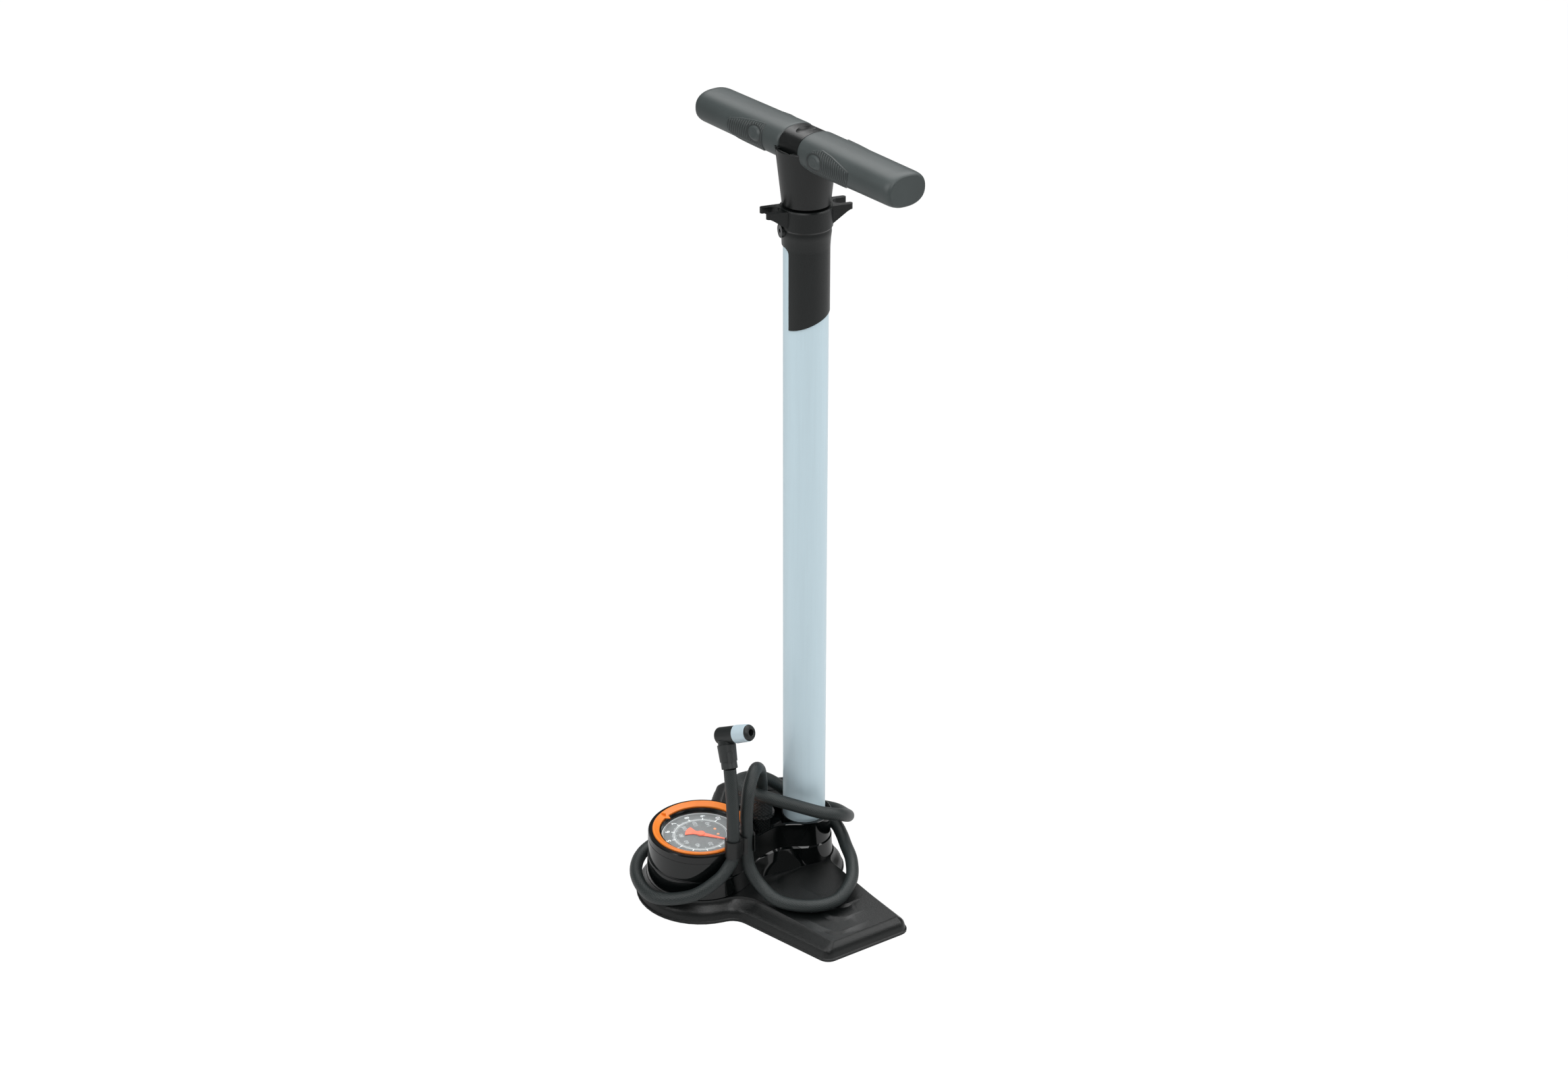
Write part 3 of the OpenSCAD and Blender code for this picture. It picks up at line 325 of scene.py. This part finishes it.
# %% [markdown]
# ## Metals
# Little metal is in sight: one screw, and the rod once the handle is up. A metal has no colour
# of its own under its shine, so its base colour is the colour of its reflection, and what
# tells one from another is how much fine scratches spread the highlight.

# %% Metals
SCRATCH_MM = 1.5


def metal(name, colour, roughness):
    """Bare or plated metal whose fine scratches spread the highlight unevenly."""
    material, tree, shader = start_finish(name, Metallic=1.0, Base_Color=linear(colour))
    scratch = add(tree, "TexNoise", {"Vector": own_place(tree), "Scale": 1 / (SCRATCH_MM * MM),
                                     "Detail": 4.0})
    spread = add(tree, "MapRange", {"Value": scratch.outputs["Fac"], "To Min": roughness * 0.8,
                                    "To Max": roughness * 1.25})
    tree.links.new(spread.outputs["Result"], shader.inputs["Roughness"])
    return material


# Zinc plating is pale and slightly cloudy, and a blackened screw shines dully on its head.
dress(metal("zinc_plated_steel", "#A9ABAB", 0.3), "housing_screws", "piston_nut", "rod_nut")
dress(metal("blackened_steel", "#5A5C5D", 0.25), "collar_screw")
# Hard chrome is ground and polished: sharp vertical lines of light on the rod.
dress(metal("hard_chrome", "#C9CBCD", 0.08), "piston_rod")
# Spring wire keeps the satin of its drawing die; brass and bronze are warm and half bright.
spring_steel = metal("spring_steel", "#9A9B9D", 0.25)
dress(metal("turned_brass", "#B5964E", 0.25), "gauge_movement")
dress(metal("bourdon_bronze", "#B8924C", 0.22), "bourdon_tube")

# %% [markdown]
# ## The check valve's spring
# A spring gets shorter as the valve opens, and a rigid piece can't. A copy of the CAD spring,
# welded at its seams and fixed to the pump's body, takes its place.


def make_piece(name, shape, finish):
    """Turns a bmesh into an object with one finish."""
    mesh = bpy.data.meshes.new(name)
    shape.to_mesh(mesh)
    shape.free()
    mesh.materials.append(finish)
    return place_object(name, mesh)


wire = bmesh.new()
wire.from_mesh(nodes["valve_spring"].data)
bmesh.ops.remove_doubles(wire, verts=wire.verts, dist=WELD_DISTANCE)
coil = make_piece("valve_spring_coil", wire, spring_steel)
coil.data.shade_smooth()
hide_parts("valve_spring")
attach(coil, "pump_body")
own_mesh(coil)

# %% [markdown]
# ## Rubber
# Rubber is dark with a wide, weak highlight. Age and handling leave a faint bloom on it, which
# the clouds give, and its grain is so shallow that it only roughens the edge of the light.

# %% Rubber
BLOOM_MM = 30
GRAIN_DEPTH_MM = 0.05


def rubber(name, colour, roughness, grain_mm):
    """Moulded rubber with a faint bloom and a shallow grain."""
    material, tree, shader = start_finish(name, Roughness=roughness, IOR=1.52)
    place = own_place(tree)
    cloud(tree, shader, place, BLOOM_MM, 4.0, colour, 0.9, 1.08, 0.3, 0.7)
    grain = add(tree, "TexNoise", {"Vector": place, "Scale": 1 / (grain_mm * MM), "Detail": 2.0})
    bump = add(tree, "Bump", {"Height": grain.outputs["Fac"], "Strength": 0.3,
                              "Distance": GRAIN_DEPTH_MM * MM})
    tree.links.new(bump.outputs["Normal"], shader.inputs["Normal"])
    return material


# The soft grips are the palest rubber, the seals are nearly black, and the hose's socket lies
# between them.
GRIP_RUBBER = ("#3B4242", 0.46, 0.6)
dress(rubber("soft_grip_rubber", *GRIP_RUBBER), "grip_right", "grip_left")
dress(rubber("nitrile_rubber", "#161818", 0.5, 0.8),
      "foot_seal", "check_valve", "head_seal", "rod_wiper", "piston_seal")
dress(rubber("moulded_hose_socket", "#2B2E2E", 0.45, 0.7), "head_socket", "head_sleeve")

# %% [markdown]
# ## Woven hose and hatched boot
# The hose wears a braid: two sets of threads that wind round it in opposite directions, and
# catch the light where they stand up. Two slanted sine waves, multiplied and taken without
# their sign, give that diamond of crests. A bump shows it, because the threads are too low to
# change the hose's outline, and the colour adds a painted highlight on the crests and painted
# shade in the gaps. The boot on its fitting has a coarser hatch of the same kind.

# %% Crossed threads
THREADS_IN_REPEAT = 2


def crossed_threads(tree, around, along, turns, rows):
    """A relief from 0 to 1 where two sets of slanted threads cross. around runs from 0 to 1
    round the piece, and along is its length in metres or a share of its whole length."""
    waves = []
    for turn in (turns, -turns):
        slant = add(tree, "Math", {0: around, 1: float(turn)}, operation="MULTIPLY")
        phase = add(tree, "Math", {0: along, 1: float(rows), 2: slant.outputs[0]},
                    operation="MULTIPLY_ADD")
        angle = add(tree, "Math", {0: phase.outputs[0], 1: 2 * math.pi}, operation="MULTIPLY")
        waves.append(add(tree, "Math", {0: angle.outputs[0]}, operation="SINE").outputs[0])
    crossing = add(tree, "Math", {0: waves[0], 1: waves[1]}, operation="MULTIPLY")
    return add(tree, "Math", {0: crossing.outputs[0]}, operation="ABSOLUTE").outputs[0]


def show_threads(tree, shader, relief, low, high, depth_mm):
    """Lets the threads stand up, with a painted highlight on crests and painted shade in gaps."""
    ramp = add(tree, "ValToRGB", {"Fac": relief})
    stops = ramp.color_ramp.elements
    stops[0].position, stops[0].color = 0.05, linear(low)
    stops[1].position, stops[1].color = 0.6, linear(high)
    tree.links.new(ramp.outputs["Color"], shader.inputs["Base Color"])
    bump = add(tree, "Bump", {"Height": relief, "Strength": 0.8, "Distance": depth_mm * MM})
    tree.links.new(bump.outputs["Normal"], shader.inputs["Normal"])


print("threads in a repeat:", THREADS_IN_REPEAT)

# %% Weave of the hose
# Braided yarn, soaked in rubber: a fine sparkle of dull points. A repeat of 3.8 mm holds two
# threads, so they lie 1.9 mm apart, which is about as fine as shows from the camera.
REPEAT_ROUND = 3.8 * MM
REPEAT_ALONG = 1.1 * REPEAT_ROUND
hose_rubber, tree, shader = start_finish("woven_hose_rubber_painted_light", Roughness=0.42, IOR=1.5)
uv = add(tree, "SeparateXYZ", {"Vector": add(tree, "TexCoord").outputs["UV"]}).outputs
turns = round(math.pi * HOSE_D / REPEAT_ROUND)
threads = crossed_threads(tree, uv["Y"], uv["X"], turns, hose_length / REPEAT_ALONG)
# The two colours are painted shade in the gaps between threads and a painted highlight on their
# crests.
show_threads(tree, shader, threads, "#1D2222", "#2A3131", 0.16)
hose.data.materials.clear()
hose.data.materials.append(hose_rubber)
print("threads round the hose:", THREADS_IN_REPEAT * turns)

# %% Hatch of the boot
# Moulded rubber with a hatch, 3 mm apart in height: painted shade in its deep lines, and a
# painted highlight on the crests between.
BOOT_TURNS = 9
BOOT_REPEAT = 6.0 * MM
boot_low, boot_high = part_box("hose_fitting")
boot_rubber, tree, shader = start_finish("hatched_boot_rubber_painted_light", Roughness=0.3, IOR=1.5)
from_axis = add(tree, "VectorMath", {0: own_place(tree), 1: (boot_low + boot_high) / 2},
                operation="SUBTRACT")
axes = add(tree, "SeparateXYZ", {"Vector": from_axis.outputs[0]}).outputs
turn = add(tree, "Math", {0: axes["Y"], 1: axes["X"]}, operation="ARCTAN2")
around = add(tree, "Math", {0: turn.outputs[0], 1: 1 / (2 * math.pi)}, operation="MULTIPLY")
hatch = crossed_threads(tree, around.outputs[0], axes["Z"], BOOT_TURNS, 1 / BOOT_REPEAT)
show_threads(tree, shader, hatch, "#101313", "#2A2E2E", 0.5)
dress(boot_rubber, "hose_fitting")

# %% [markdown]
# ## The gauge's colours
# The gauge has the pump's only bright colours. The bezel is moulded in tinted acrylic, which
# lets a little light run through its edges, and the card, the inks and the needle are paint.

# %% Gauge colours
PAINT_CLOUD_MM = 8


def paint(name, colour, roughness, through_light=0.0):
    """An even film of colour; through_light lets some light travel under its surface."""
    material, tree, shader = start_finish(name, Roughness=roughness,
                                          Subsurface_Weight=through_light,
                                          Subsurface_Radius=(0.004, 0.0015, 0.0006),
                                          Subsurface_Scale=1.0)
    cloud(tree, shader, own_place(tree), PAINT_CLOUD_MM, 3.0, colour, 0.94, 1.04)
    return material


# Orange acrylic, moulded satin: it glows a little where light gets into it.
dress(paint("orange_acrylic", "#F5862A", 0.34, through_light=0.15), "gauge_bezel")
# Printed card and its inks: dull, so that the figures can be read from any side.
dress(paint("grey_dial_card", "#5A5D5E", 0.5), "gauge_dial")
white_ink = paint("white_dial_ink", "#E6E8E8", 0.5)
grey_ink = paint("grey_dial_ink", "#B0B4B4", 0.5)
rivet_paint = paint("orange_rivet_paint", "#F0A070", 0.35)
# Signal paint on the needle: the one warm red mark, so that the eye finds it first.
dress(paint("signal_orange_paint", "#F0603C", 0.4), "gauge_needle")

# %% [markdown]
# ## The lens
# Clear acrylic bends light a little and mirrors a lamp as a pale veil. A renderer takes such a
# lens for a solid block and darkens what is below it, so the light that goes to and from the
# lamps passes through as through open air.

# %% Clear lens
lens_acrylic, tree, shader = start_finish("clear_acrylic_lens", Roughness=0.03, IOR=1.49,
                                          Transmission_Weight=1.0,
                                          Base_Color=linear("#FAFCFC"))
path = add(tree, "LightPath")
open_air = add(tree, "BsdfTransparent")
mix = add(tree, "MixShader", {0: path.outputs["Is Shadow Ray"], 1: shader.outputs[0],
                              2: open_air.outputs[0]})
tree.links.new(mix.outputs[0], tree.nodes["Material Output"].inputs["Surface"])
dress(lens_acrylic, "gauge_lens")

# %% [markdown]
# ## Printing the dial
# The dial's ink is a layer thin enough to be flat to the eye, yet it is real geometry here,
# so it stays sharp from any distance. The figures all stand upright for a reader behind the
# barrel. The scale starts at that reader's lower left, runs clockwise over 280 degrees, and
# leaves its gap at the bottom. Angles are counted anticlockwise from +X, seen from above.

# %% Ink helpers
INK = 0.08 * MM
ZERO_ANGLE = 50.0
SWEEP = 280.0
SPIN_STEPS = 96
FONT_SIZE_PER_HEIGHT = 1.4
dial_low, dial_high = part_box("gauge_dial")
DIAL_CENTRE = Vector(((dial_low.x + dial_high.x) / 2, (dial_low.y + dial_high.y) / 2,
                      dial_high.z))
HALF_INK = Vector((0, 0, INK / 2))


def on_dial(angle_deg, radius_mm):
    """A point on the card's face."""
    a = math.radians(angle_deg)
    return DIAL_CENTRE + Vector((math.cos(a), math.sin(a), 0)) * radius_mm * MM


def ink_bar(ink, angle_deg, inner_mm, outer_mm, width_mm):
    """One tick: a thin slab that points to the dial's centre."""
    middle = on_dial(angle_deg, (inner_mm + outer_mm) / 2) + HALF_INK
    size = Matrix.Diagonal(((outer_mm - inner_mm) * MM, width_mm * MM, INK, 1))
    turn = Matrix.Rotation(math.radians(angle_deg), 4, "Z")
    bmesh.ops.create_cube(ink, size=1.0, matrix=Matrix.Translation(middle) @ turn @ size)


def ink_ring(ink, radius_mm, width_mm):
    """A printed circle, spun from a small upright rectangle."""
    section = bmesh.ops.create_grid(ink, x_segments=1, y_segments=1, size=0.5)["verts"]
    shape = Matrix.Diagonal((width_mm * MM, 1, INK, 1))
    stand = Matrix.Rotation(math.radians(90), 4, "X")
    place = Matrix.Translation(on_dial(0, radius_mm) + HALF_INK)
    bmesh.ops.transform(ink, matrix=place @ shape @ stand, verts=section)
    edges = list({e for v in section for e in v.link_edges})
    faces = list({f for v in section for f in v.link_faces})
    bmesh.ops.spin(ink, geom=section + faces + edges, cent=DIAL_CENTRE, axis=(0, 0, 1),
                   angle=math.radians(360), steps=SPIN_STEPS, use_merge=True,
                   use_duplicate=False)


def ink_figure(ink, text, angle_deg, radius_mm, height_mm, bold_mm=0.0):
    """A number, upright for a reader who looks towards -Y."""
    font = bpy.data.curves.new("figure", "FONT")
    font.body = text
    font.size = height_mm * MM * FONT_SIZE_PER_HEIGHT
    font.align_x = "CENTER"
    font.align_y = "CENTER"
    font.extrude = INK / 2
    font.offset = bold_mm * MM
    font.resolution_u = 3
    letter = bpy.data.objects.new("figure", font)
    mesh = bpy.data.meshes.new_from_object(letter)
    bpy.data.objects.remove(letter)
    place = Matrix.Translation(on_dial(angle_deg, radius_mm) + HALF_INK)
    mesh.transform(place @ Matrix.Rotation(math.radians(180), 4, "Z"))
    ink.from_mesh(mesh)
    bpy.data.meshes.remove(mesh)


def lay_on_dial(name, ink, finish):
    """Turns a print's faces outwards and fixes it to the pump's body."""
    bmesh.ops.recalc_face_normals(ink, faces=ink.faces)
    piece = make_piece(name, ink, finish)
    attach(piece, "pump_body")
    print(name, len(piece.data.polygons), "faces")


print("dial centre", tuple(round(x, 4) for x in DIAL_CENTRE))

# %% Outer scale, 0 to 10
RING = 22.5
OUTER_FULL = 10
white_marks = bmesh.new()
for whole in range(OUTER_FULL + 1):
    angle = ZERO_ANGLE - SWEEP * whole / OUTER_FULL
    ink_bar(white_marks, angle, RING, RING + 2.6, 0.8)
    ink_figure(white_marks, str(whole), angle, RING + 5.7, 3.9, bold_mm=0.12)
for tenth in range(10 * OUTER_FULL + 1):
    if tenth % 10:
        reach = RING + (1.9 if tenth % 5 == 0 else 1.4)
        ink_bar(white_marks, ZERO_ANGLE - SWEEP * tenth / (10 * OUTER_FULL), RING, reach, 0.2)
ink_ring(white_marks, RING - 0.15, 0.3)
# This white ring near the card's edge is a painted highlight: the line of light along the lens'
# edge, printed on the card.
ink_ring(white_marks, 32.5, 0.55)
lay_on_dial("dial_outer_scale", white_marks, white_ink)

# %% Inner scale, 0 to 140
INNER_FULL = 145
grey_marks = bmesh.new()
for mark in range(0, INNER_FULL, 10):
    angle = ZERO_ANGLE - SWEEP / INNER_FULL * mark
    ink_bar(grey_marks, angle, RING - 3.2, RING - 1.6, 0.35)
    if mark % 20 == 0:
        ink_figure(grey_marks, str(mark), angle, RING - 6.2, 3.6)
ink_ring(grey_marks, RING - 1.3, 0.35)
ink_ring(grey_marks, 31.4, 0.3)
lay_on_dial("dial_inner_scale", grey_marks, grey_ink)

# %% Two rivets that hold the dial card
RIVET_SPOTS_MM = [Vector((-4.2, 13.6, 0.22)), Vector((4.2, 13.6, 0.22))]
rivets = bmesh.new()
for spot in RIVET_SPOTS_MM:
    head = bmesh.ops.create_cone(rivets, cap_ends=True, segments=24, radius1=1.25 * MM,
                                 radius2=0.95 * MM, depth=0.45 * MM)["verts"]
    bmesh.ops.translate(rivets, verts=head, vec=DIAL_CENTRE + spot * MM)
    crown = max((f for v in head for f in v.link_faces),
                key=lambda f: f.calc_center_median().z)
    bmesh.ops.inset_region(rivets, faces=[crown], thickness=0.5 * MM, depth=-0.15 * MM)
lay_on_dial("dial_rivets", rivets, rivet_paint)

# %% [markdown]
# ## Finger patches on the grips
# Each grip carries a leaf of fine ribs under the fingers and a smooth pad under the thumb. The
# ribs stand about three quarters of a millimetre high here, and the pad a little over one. A
# texture's bump would give them their shading but not their outline, so a fine grid is laid
# over the grip's own oval section and lifted by a height that is a function of the place.

# %% The grip's own section
HANDLE_TURN = math.radians(17)
GRIP_A, GRIP_B = 18.5, 14.25
GRIP_FROM, GRIP_TO, GRIP_THIN = 11.7, 120.0, 0.93
OVAL_POWER = 0.85
core_low, core_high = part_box("grip_right")
HANDLE_Z = (core_low.z + core_high.z) / 2
ALONG = Vector((math.cos(HANDLE_TURN), math.sin(HANDLE_TURN), 0))
ACROSS = Vector((-math.sin(HANDLE_TURN), math.cos(HANDLE_TURN), 0))


def oval_point(turn_deg, s_mm, lift_mm):
    """A point over the grip's skin; turn counts up from the front, s runs out from the stem."""
    c, n = math.cos(math.radians(turn_deg)), math.sin(math.radians(turn_deg))
    b = GRIP_B * (1 + (GRIP_THIN - 1) * (s_mm - GRIP_FROM) / (GRIP_TO - GRIP_FROM))
    out = math.copysign(abs(c) ** OVAL_POWER, c) * GRIP_A
    up = math.copysign(abs(n) ** OVAL_POWER, n) * b
    normal = Vector((c / GRIP_A, n / b)).normalized()
    return out + normal.x * lift_mm, up + normal.y * lift_mm


def skin_place(turn_deg, s_mm, lift_mm, far, back):
    """The same point in the frame; far grips and back faces are reached by half turns."""
    out, up = oval_point(turn_deg, s_mm, lift_mm)
    sign_s, sign_w = (-1 if far else 1), (1 if back else -1)
    flat = ALONG * sign_s * s_mm + ACROSS * sign_w * out
    return flat * MM + Vector((0, 0, HANDLE_Z + up * MM))


print("handle's middle at", round(HANDLE_Z, 4))

# %% Leaf outlines, as millimetres along the grip and degrees round it
LEAF_BY_THUMB = [(22.6, -12), (24, 10), (29, 30), (38, 44), (50, 38), (62, 27), (73.4, 15),
                 (73, -6), (70, -30), (66, -50), (52, -58), (38, -58), (27, -50), (22.4, -34)]
LEAF_BY_FINGERS = [(32.5, 48), (45, 44), (60, 33), (75, 18), (77, 0), (75, -17), (66, -40),
                   (52, -54), (38, -56), (31.5, -42), (31.0, 0)]
THUMB_PAD, FINGER_PAD = (33.3, 0), (41.1, 7)
MM_PER_DEGREE = 0.27


def leaf_depth(outline, s, turn):
    """Millimetres from a point to the leaf's edge, counted positive inside it."""
    nearest, inside = 1e9, False
    x, y = s, turn * MM_PER_DEGREE
    for (ax, ay), (bx, by) in zip(outline, outline[1:] + outline[:1]):
        ay, by = ay * MM_PER_DEGREE, by * MM_PER_DEGREE
        length_squared = (bx - ax) ** 2 + (by - ay) ** 2
        t = max(0, min(1, ((x - ax) * (bx - ax) + (y - ay) * (by - ay)) / length_squared))
        nearest = min(nearest, math.hypot(x - ax - t * (bx - ax), y - ay - t * (by - ay)))
        if (ay > y) != (by > y) and x < (bx - ax) * (y - ay) / (by - ay) + ax:
            inside = not inside
    return nearest if inside else -nearest


print("leaves with", len(LEAF_BY_THUMB), "and", len(LEAF_BY_FINGERS), "corners")

# %% Relief of a leaf
# Heights over the grip's skin, in millimetres. Each rib is a pitch and a height.
RIM_HIGH, FIELD_HIGH, PAD_HIGH, DIMPLE_DEEP, SEAM_HIGH = 0.51, 0.17, 0.935, 0.425, 0.476
COARSE_RIBS, FINE_RIBS = (2.6, 0.578), (1.7, 0.374)
PAD_HALF_LONG, PAD_HALF_WIDE = 8.0, 6.0
SEAM_TURN = -24
RIB_LEAN = 0.05
# RIM_SHADE is how much of the painted shade the creases at the leaf's rim and round the pad get.
RIM_SHADE = 0.8


def step(value, low, high):
    """0 below low, 1 above high, and a smooth rise between."""
    t = max(0.0, min(1.0, (value - low) / (high - low)))
    return t * t * (3 - 2 * t)


def leaf_relief(depth, s, turn, pad_s, pad_turn):
    """The height in millimetres of a rim line, a smooth pad and ribs of two sizes, and the share
    of painted shade at the place, from 0 to 1, in the rib grooves and the creases at rim and pad."""
    rim = RIM_HIGH * step(depth, -0.1, 0.5) * (1 - step(depth, 0.9, 1.5))
    field = FIELD_HIGH * step(depth, 0.0, 0.6)
    across = math.hypot((s - pad_s) / PAD_HALF_LONG,
                        (turn - pad_turn) * MM_PER_DEGREE / PAD_HALF_WIDE)
    dimple = DIMPLE_DEEP * (1 - step(across, 0.2, 0.5))
    pad = (PAD_HIGH * (1 - step(across, 0.55, 1.0)) - dimple) * step(depth, 0.3, 1.5)
    beyond = step(across, 1.0, 1.2) * step(depth, 1.2, 2.0)
    pitch, rib_high = COARSE_RIBS if turn > SEAM_TURN else FINE_RIBS
    crest = 0.5 + 0.5 * math.cos(2 * math.pi * (s + RIB_LEAN * turn) / pitch)
    seam = 1 - step(abs(turn - SEAM_TURN) * MM_PER_DEGREE, 0.2, 0.7)
    ribs = max(rib_high * crest, SEAM_HIGH * seam) * beyond
    # Painted shade: the rib grooves and the creases at the rim and round the pad are darkened.
    rim_crease_shade = 1 - step(abs(depth - 0.1), 0.1, 0.6)
    pad_crease_shade = (1 - step(abs(across - 1.0), 0.04, 0.16)) * step(depth, 0, 1)
    painted_shade_share = max((1 - max(crest, seam)) * beyond, RIM_SHADE * min(1.0, rim_crease_shade + pad_crease_shade))
    return rim + field + pad + ribs, painted_shade_share


print("ribs", COARSE_RIBS[1] + FIELD_HIGH, "mm high, pad", PAD_HIGH + FIELD_HIGH, "mm")

# %% [markdown]
# ## Rubber of the patches
# Little light reaches the bottom of a groove, so the grooves read darker than the crests, and
# here that shade is painted into the colour. Each point of a patch keeps its share of painted
# shade, in the rib grooves and along the creases at the leaf's rim and round the pad, as an
# attribute of its mesh, and the finish darkens the grip's rubber by it.

# %% Rubber with painted shade in its grooves
# Painted shade: the deepest groove is painted at this share of the rubber's colour.
GROOVE_SHADE = 0.28
painted_shade_patch_rubber = rubber("ribbed_grip_rubber_painted_shade", *GRIP_RUBBER)
tree = painted_shade_patch_rubber.node_tree
base = tree.nodes["Principled BSDF"].inputs["Base Color"]
plain = base.links[0].from_socket
painted_shade_attribute = add(tree, "Attribute", attribute_name="painted_shade_share")
shade = add(tree, "ValToRGB", {"Fac": painted_shade_attribute.outputs["Fac"]})
shade.color_ramp.elements[0].color = (1, 1, 1, 1)
shade.color_ramp.elements[1].color = (GROOVE_SHADE, GROOVE_SHADE, GROOVE_SHADE, 1)
# A colour mix has its share in socket 0, its two colours in 6 and 7, and its result in 2.
painted_shade_mix = add(tree, "Mix", {0: 1.0, 6: plain, 7: shade.outputs["Color"]}, data_type="RGBA",
               blend_type="MULTIPLY")
tree.links.new(painted_shade_mix.outputs[2], base)
print("grooves are", GROOVE_SHADE, "as bright as crests")

# %% Mould the four patches
# Outside its leaf the sheet dives under the grip's skin, where it is cut off.
CELL_ALONG, CELL_ROUND = 0.32, 0.42
SUNK = 0.35
CUT_DEPTH = -0.6
SPARE_ALONG, SPARE_ROUND = 1, 5


def grip_patch(name, outline, pad, far, back):
    """One patch, as a fine grid that is lifted to its relief and trimmed to its leaf."""
    distances, turns_round = [p[0] for p in outline], [p[1] for p in outline]
    s_low, s_high = min(distances) - SPARE_ALONG, max(distances) + SPARE_ALONG
    t_low, t_high = min(turns_round) - SPARE_ROUND, max(turns_round) + SPARE_ROUND
    patch = bmesh.new()
    bmesh.ops.create_grid(patch, x_segments=int((s_high - s_low) / CELL_ALONG),
                          y_segments=int((t_high - t_low) * MM_PER_DEGREE / CELL_ROUND),
                          size=0.5)
    # Each point keeps its share of painted shade, for the finish to read.
    painted_shade_share = patch.verts.layers.float.new("painted_shade_share")
    depths = {}
    for vert in patch.verts:
        s = s_low + (vert.co.x + 0.5) * (s_high - s_low)
        turn = t_low + (vert.co.y + 0.5) * (t_high - t_low)
        depth = depths[vert] = leaf_depth(outline, s, turn)
        height, vert[painted_shade_share] = leaf_relief(depth, s, turn, *pad)
        lift = SUNK * (step(depth, -0.7, 0.0) - 1) + height
        vert.co = skin_place(turn, s, lift, far, back)
    stray = [f for f in patch.faces if max(depths[v] for v in f.verts) < CUT_DEPTH]
    bmesh.ops.delete(patch, geom=stray, context="FACES")
    if far != back:
        bmesh.ops.reverse_faces(patch, faces=patch.faces)
    piece = make_piece(name, patch, painted_shade_patch_rubber)
    piece.data.shade_smooth()
    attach(piece, "handle")
    print(name, len(piece.data.polygons), "faces")


grip_patch("thumb_patch_near", LEAF_BY_THUMB, THUMB_PAD, far=False, back=False)
grip_patch("finger_patch_far", LEAF_BY_FINGERS, FINGER_PAD, far=True, back=False)
grip_patch("thumb_patch_far", LEAF_BY_THUMB, THUMB_PAD, far=True, back=True)
grip_patch("finger_patch_near", LEAF_BY_FINGERS, FINGER_PAD, far=False, back=True)

# %% [markdown]
# ## The studio
# Wide soft lamps suit glossy black: the eye reads its shape from their long soft reflections.
# The floor is pale paper that the lamps light, and it looks white only where the camera sees
# it, with a little of the pump's shadow left. The sky is white to the camera and through the
# lens. It is dim to gloss, because black plastic under a white sky looks grey, and it gives
# the matt surfaces a plain even level of light.

# %% Floor
PAPER_WHITE = 1.07
SEEN_SHARE = 0.92
paper, tree, shader = start_finish("white_studio_paper", Roughness=0.9,
                                   Base_Color=linear("#CDCDCD"))
glow = add(tree, "Emission", {"Color": (1, 1, 1, 1), "Strength": PAPER_WHITE})
path = add(tree, "LightPath")
seen = add(tree, "Math", {0: path.outputs["Is Camera Ray"], 1: SEEN_SHARE},
           operation="MULTIPLY")
mix = add(tree, "MixShader", {0: seen.outputs[0], 1: shader.outputs[0], 2: glow.outputs[0]})
tree.links.new(mix.outputs[0], tree.nodes["Material Output"].inputs["Surface"])
floor = bmesh.new()
bmesh.ops.create_grid(floor, x_segments=1, y_segments=1, size=6.0)
studio_floor = make_piece("studio_floor", floor, paper)
print("floor", tuple(round(x, 1) for x in studio_floor.dimensions))

# %% Sky
SKY_IN_GLOSS = 0.12
SKY_ON_MATT = 0.27
world = bpy.data.worlds.new("studio")
bpy.context.scene.world = world
world.use_nodes = True
sky = world.node_tree
ray = add(sky, "LightPath").outputs
seen = add(sky, "Math", {0: ray["Is Camera Ray"], 1: ray["Is Transmission Ray"]},
           operation="MAXIMUM")
mirrored = add(sky, "Math", {0: ray["Is Glossy Ray"], 1: SKY_IN_GLOSS}, operation="MULTIPLY")
matt = add(sky, "Math", {0: ray["Is Diffuse Ray"], 1: SKY_ON_MATT}, operation="MULTIPLY")
both = add(sky, "Math", {0: seen.outputs[0], 1: mirrored.outputs[0]}, operation="MAXIMUM")
level = add(sky, "Math", {0: both.outputs[0], 1: matt.outputs[0]}, operation="MAXIMUM")
background = sky.nodes["Background"]
background.inputs["Color"].default_value = (1, 1, 1, 1)
sky.links.new(level.outputs[0], background.inputs["Strength"])
print("sky in gloss", SKY_IN_GLOSS, "and on matt", SKY_ON_MATT)

# %% Lamps
LAMP_DISTANCE = 1.8
LAMP_TARGET = Vector((0, 0, 0.3))
# name, azimuth and elevation in degrees, width and height in metres, power in watts
LAMPS = [
    ("lamp_left", 5, 35, 1.0, 1.4, 12),
    ("lamp_front", 80, 42, 0.7, 0.9, 8),
    ("lamp_back", 235, 59, 2.2, 1.3, 26),
    ("lamp_right", 150, 30, 0.8, 1.4, 11),
    ("lamp_top", 70, 80, 1.4, 1.4, 9)]
for name, azimuth, elevation, width, height, power in LAMPS:
    panel = bpy.data.lights.new(name, "AREA")
    panel.shape = "RECTANGLE"
    panel.size, panel.size_y = width, height
    panel.energy = power
    lamp = place_object(name, panel)
    back = towards(math.radians(azimuth), math.radians(elevation))
    lamp.location = LAMP_TARGET + back * LAMP_DISTANCE
    look_along(lamp, -back)
print("lamps:", len(LAMPS))

# %% Colour settings and sizes
bpy.context.scene.view_settings.view_transform = "Standard"
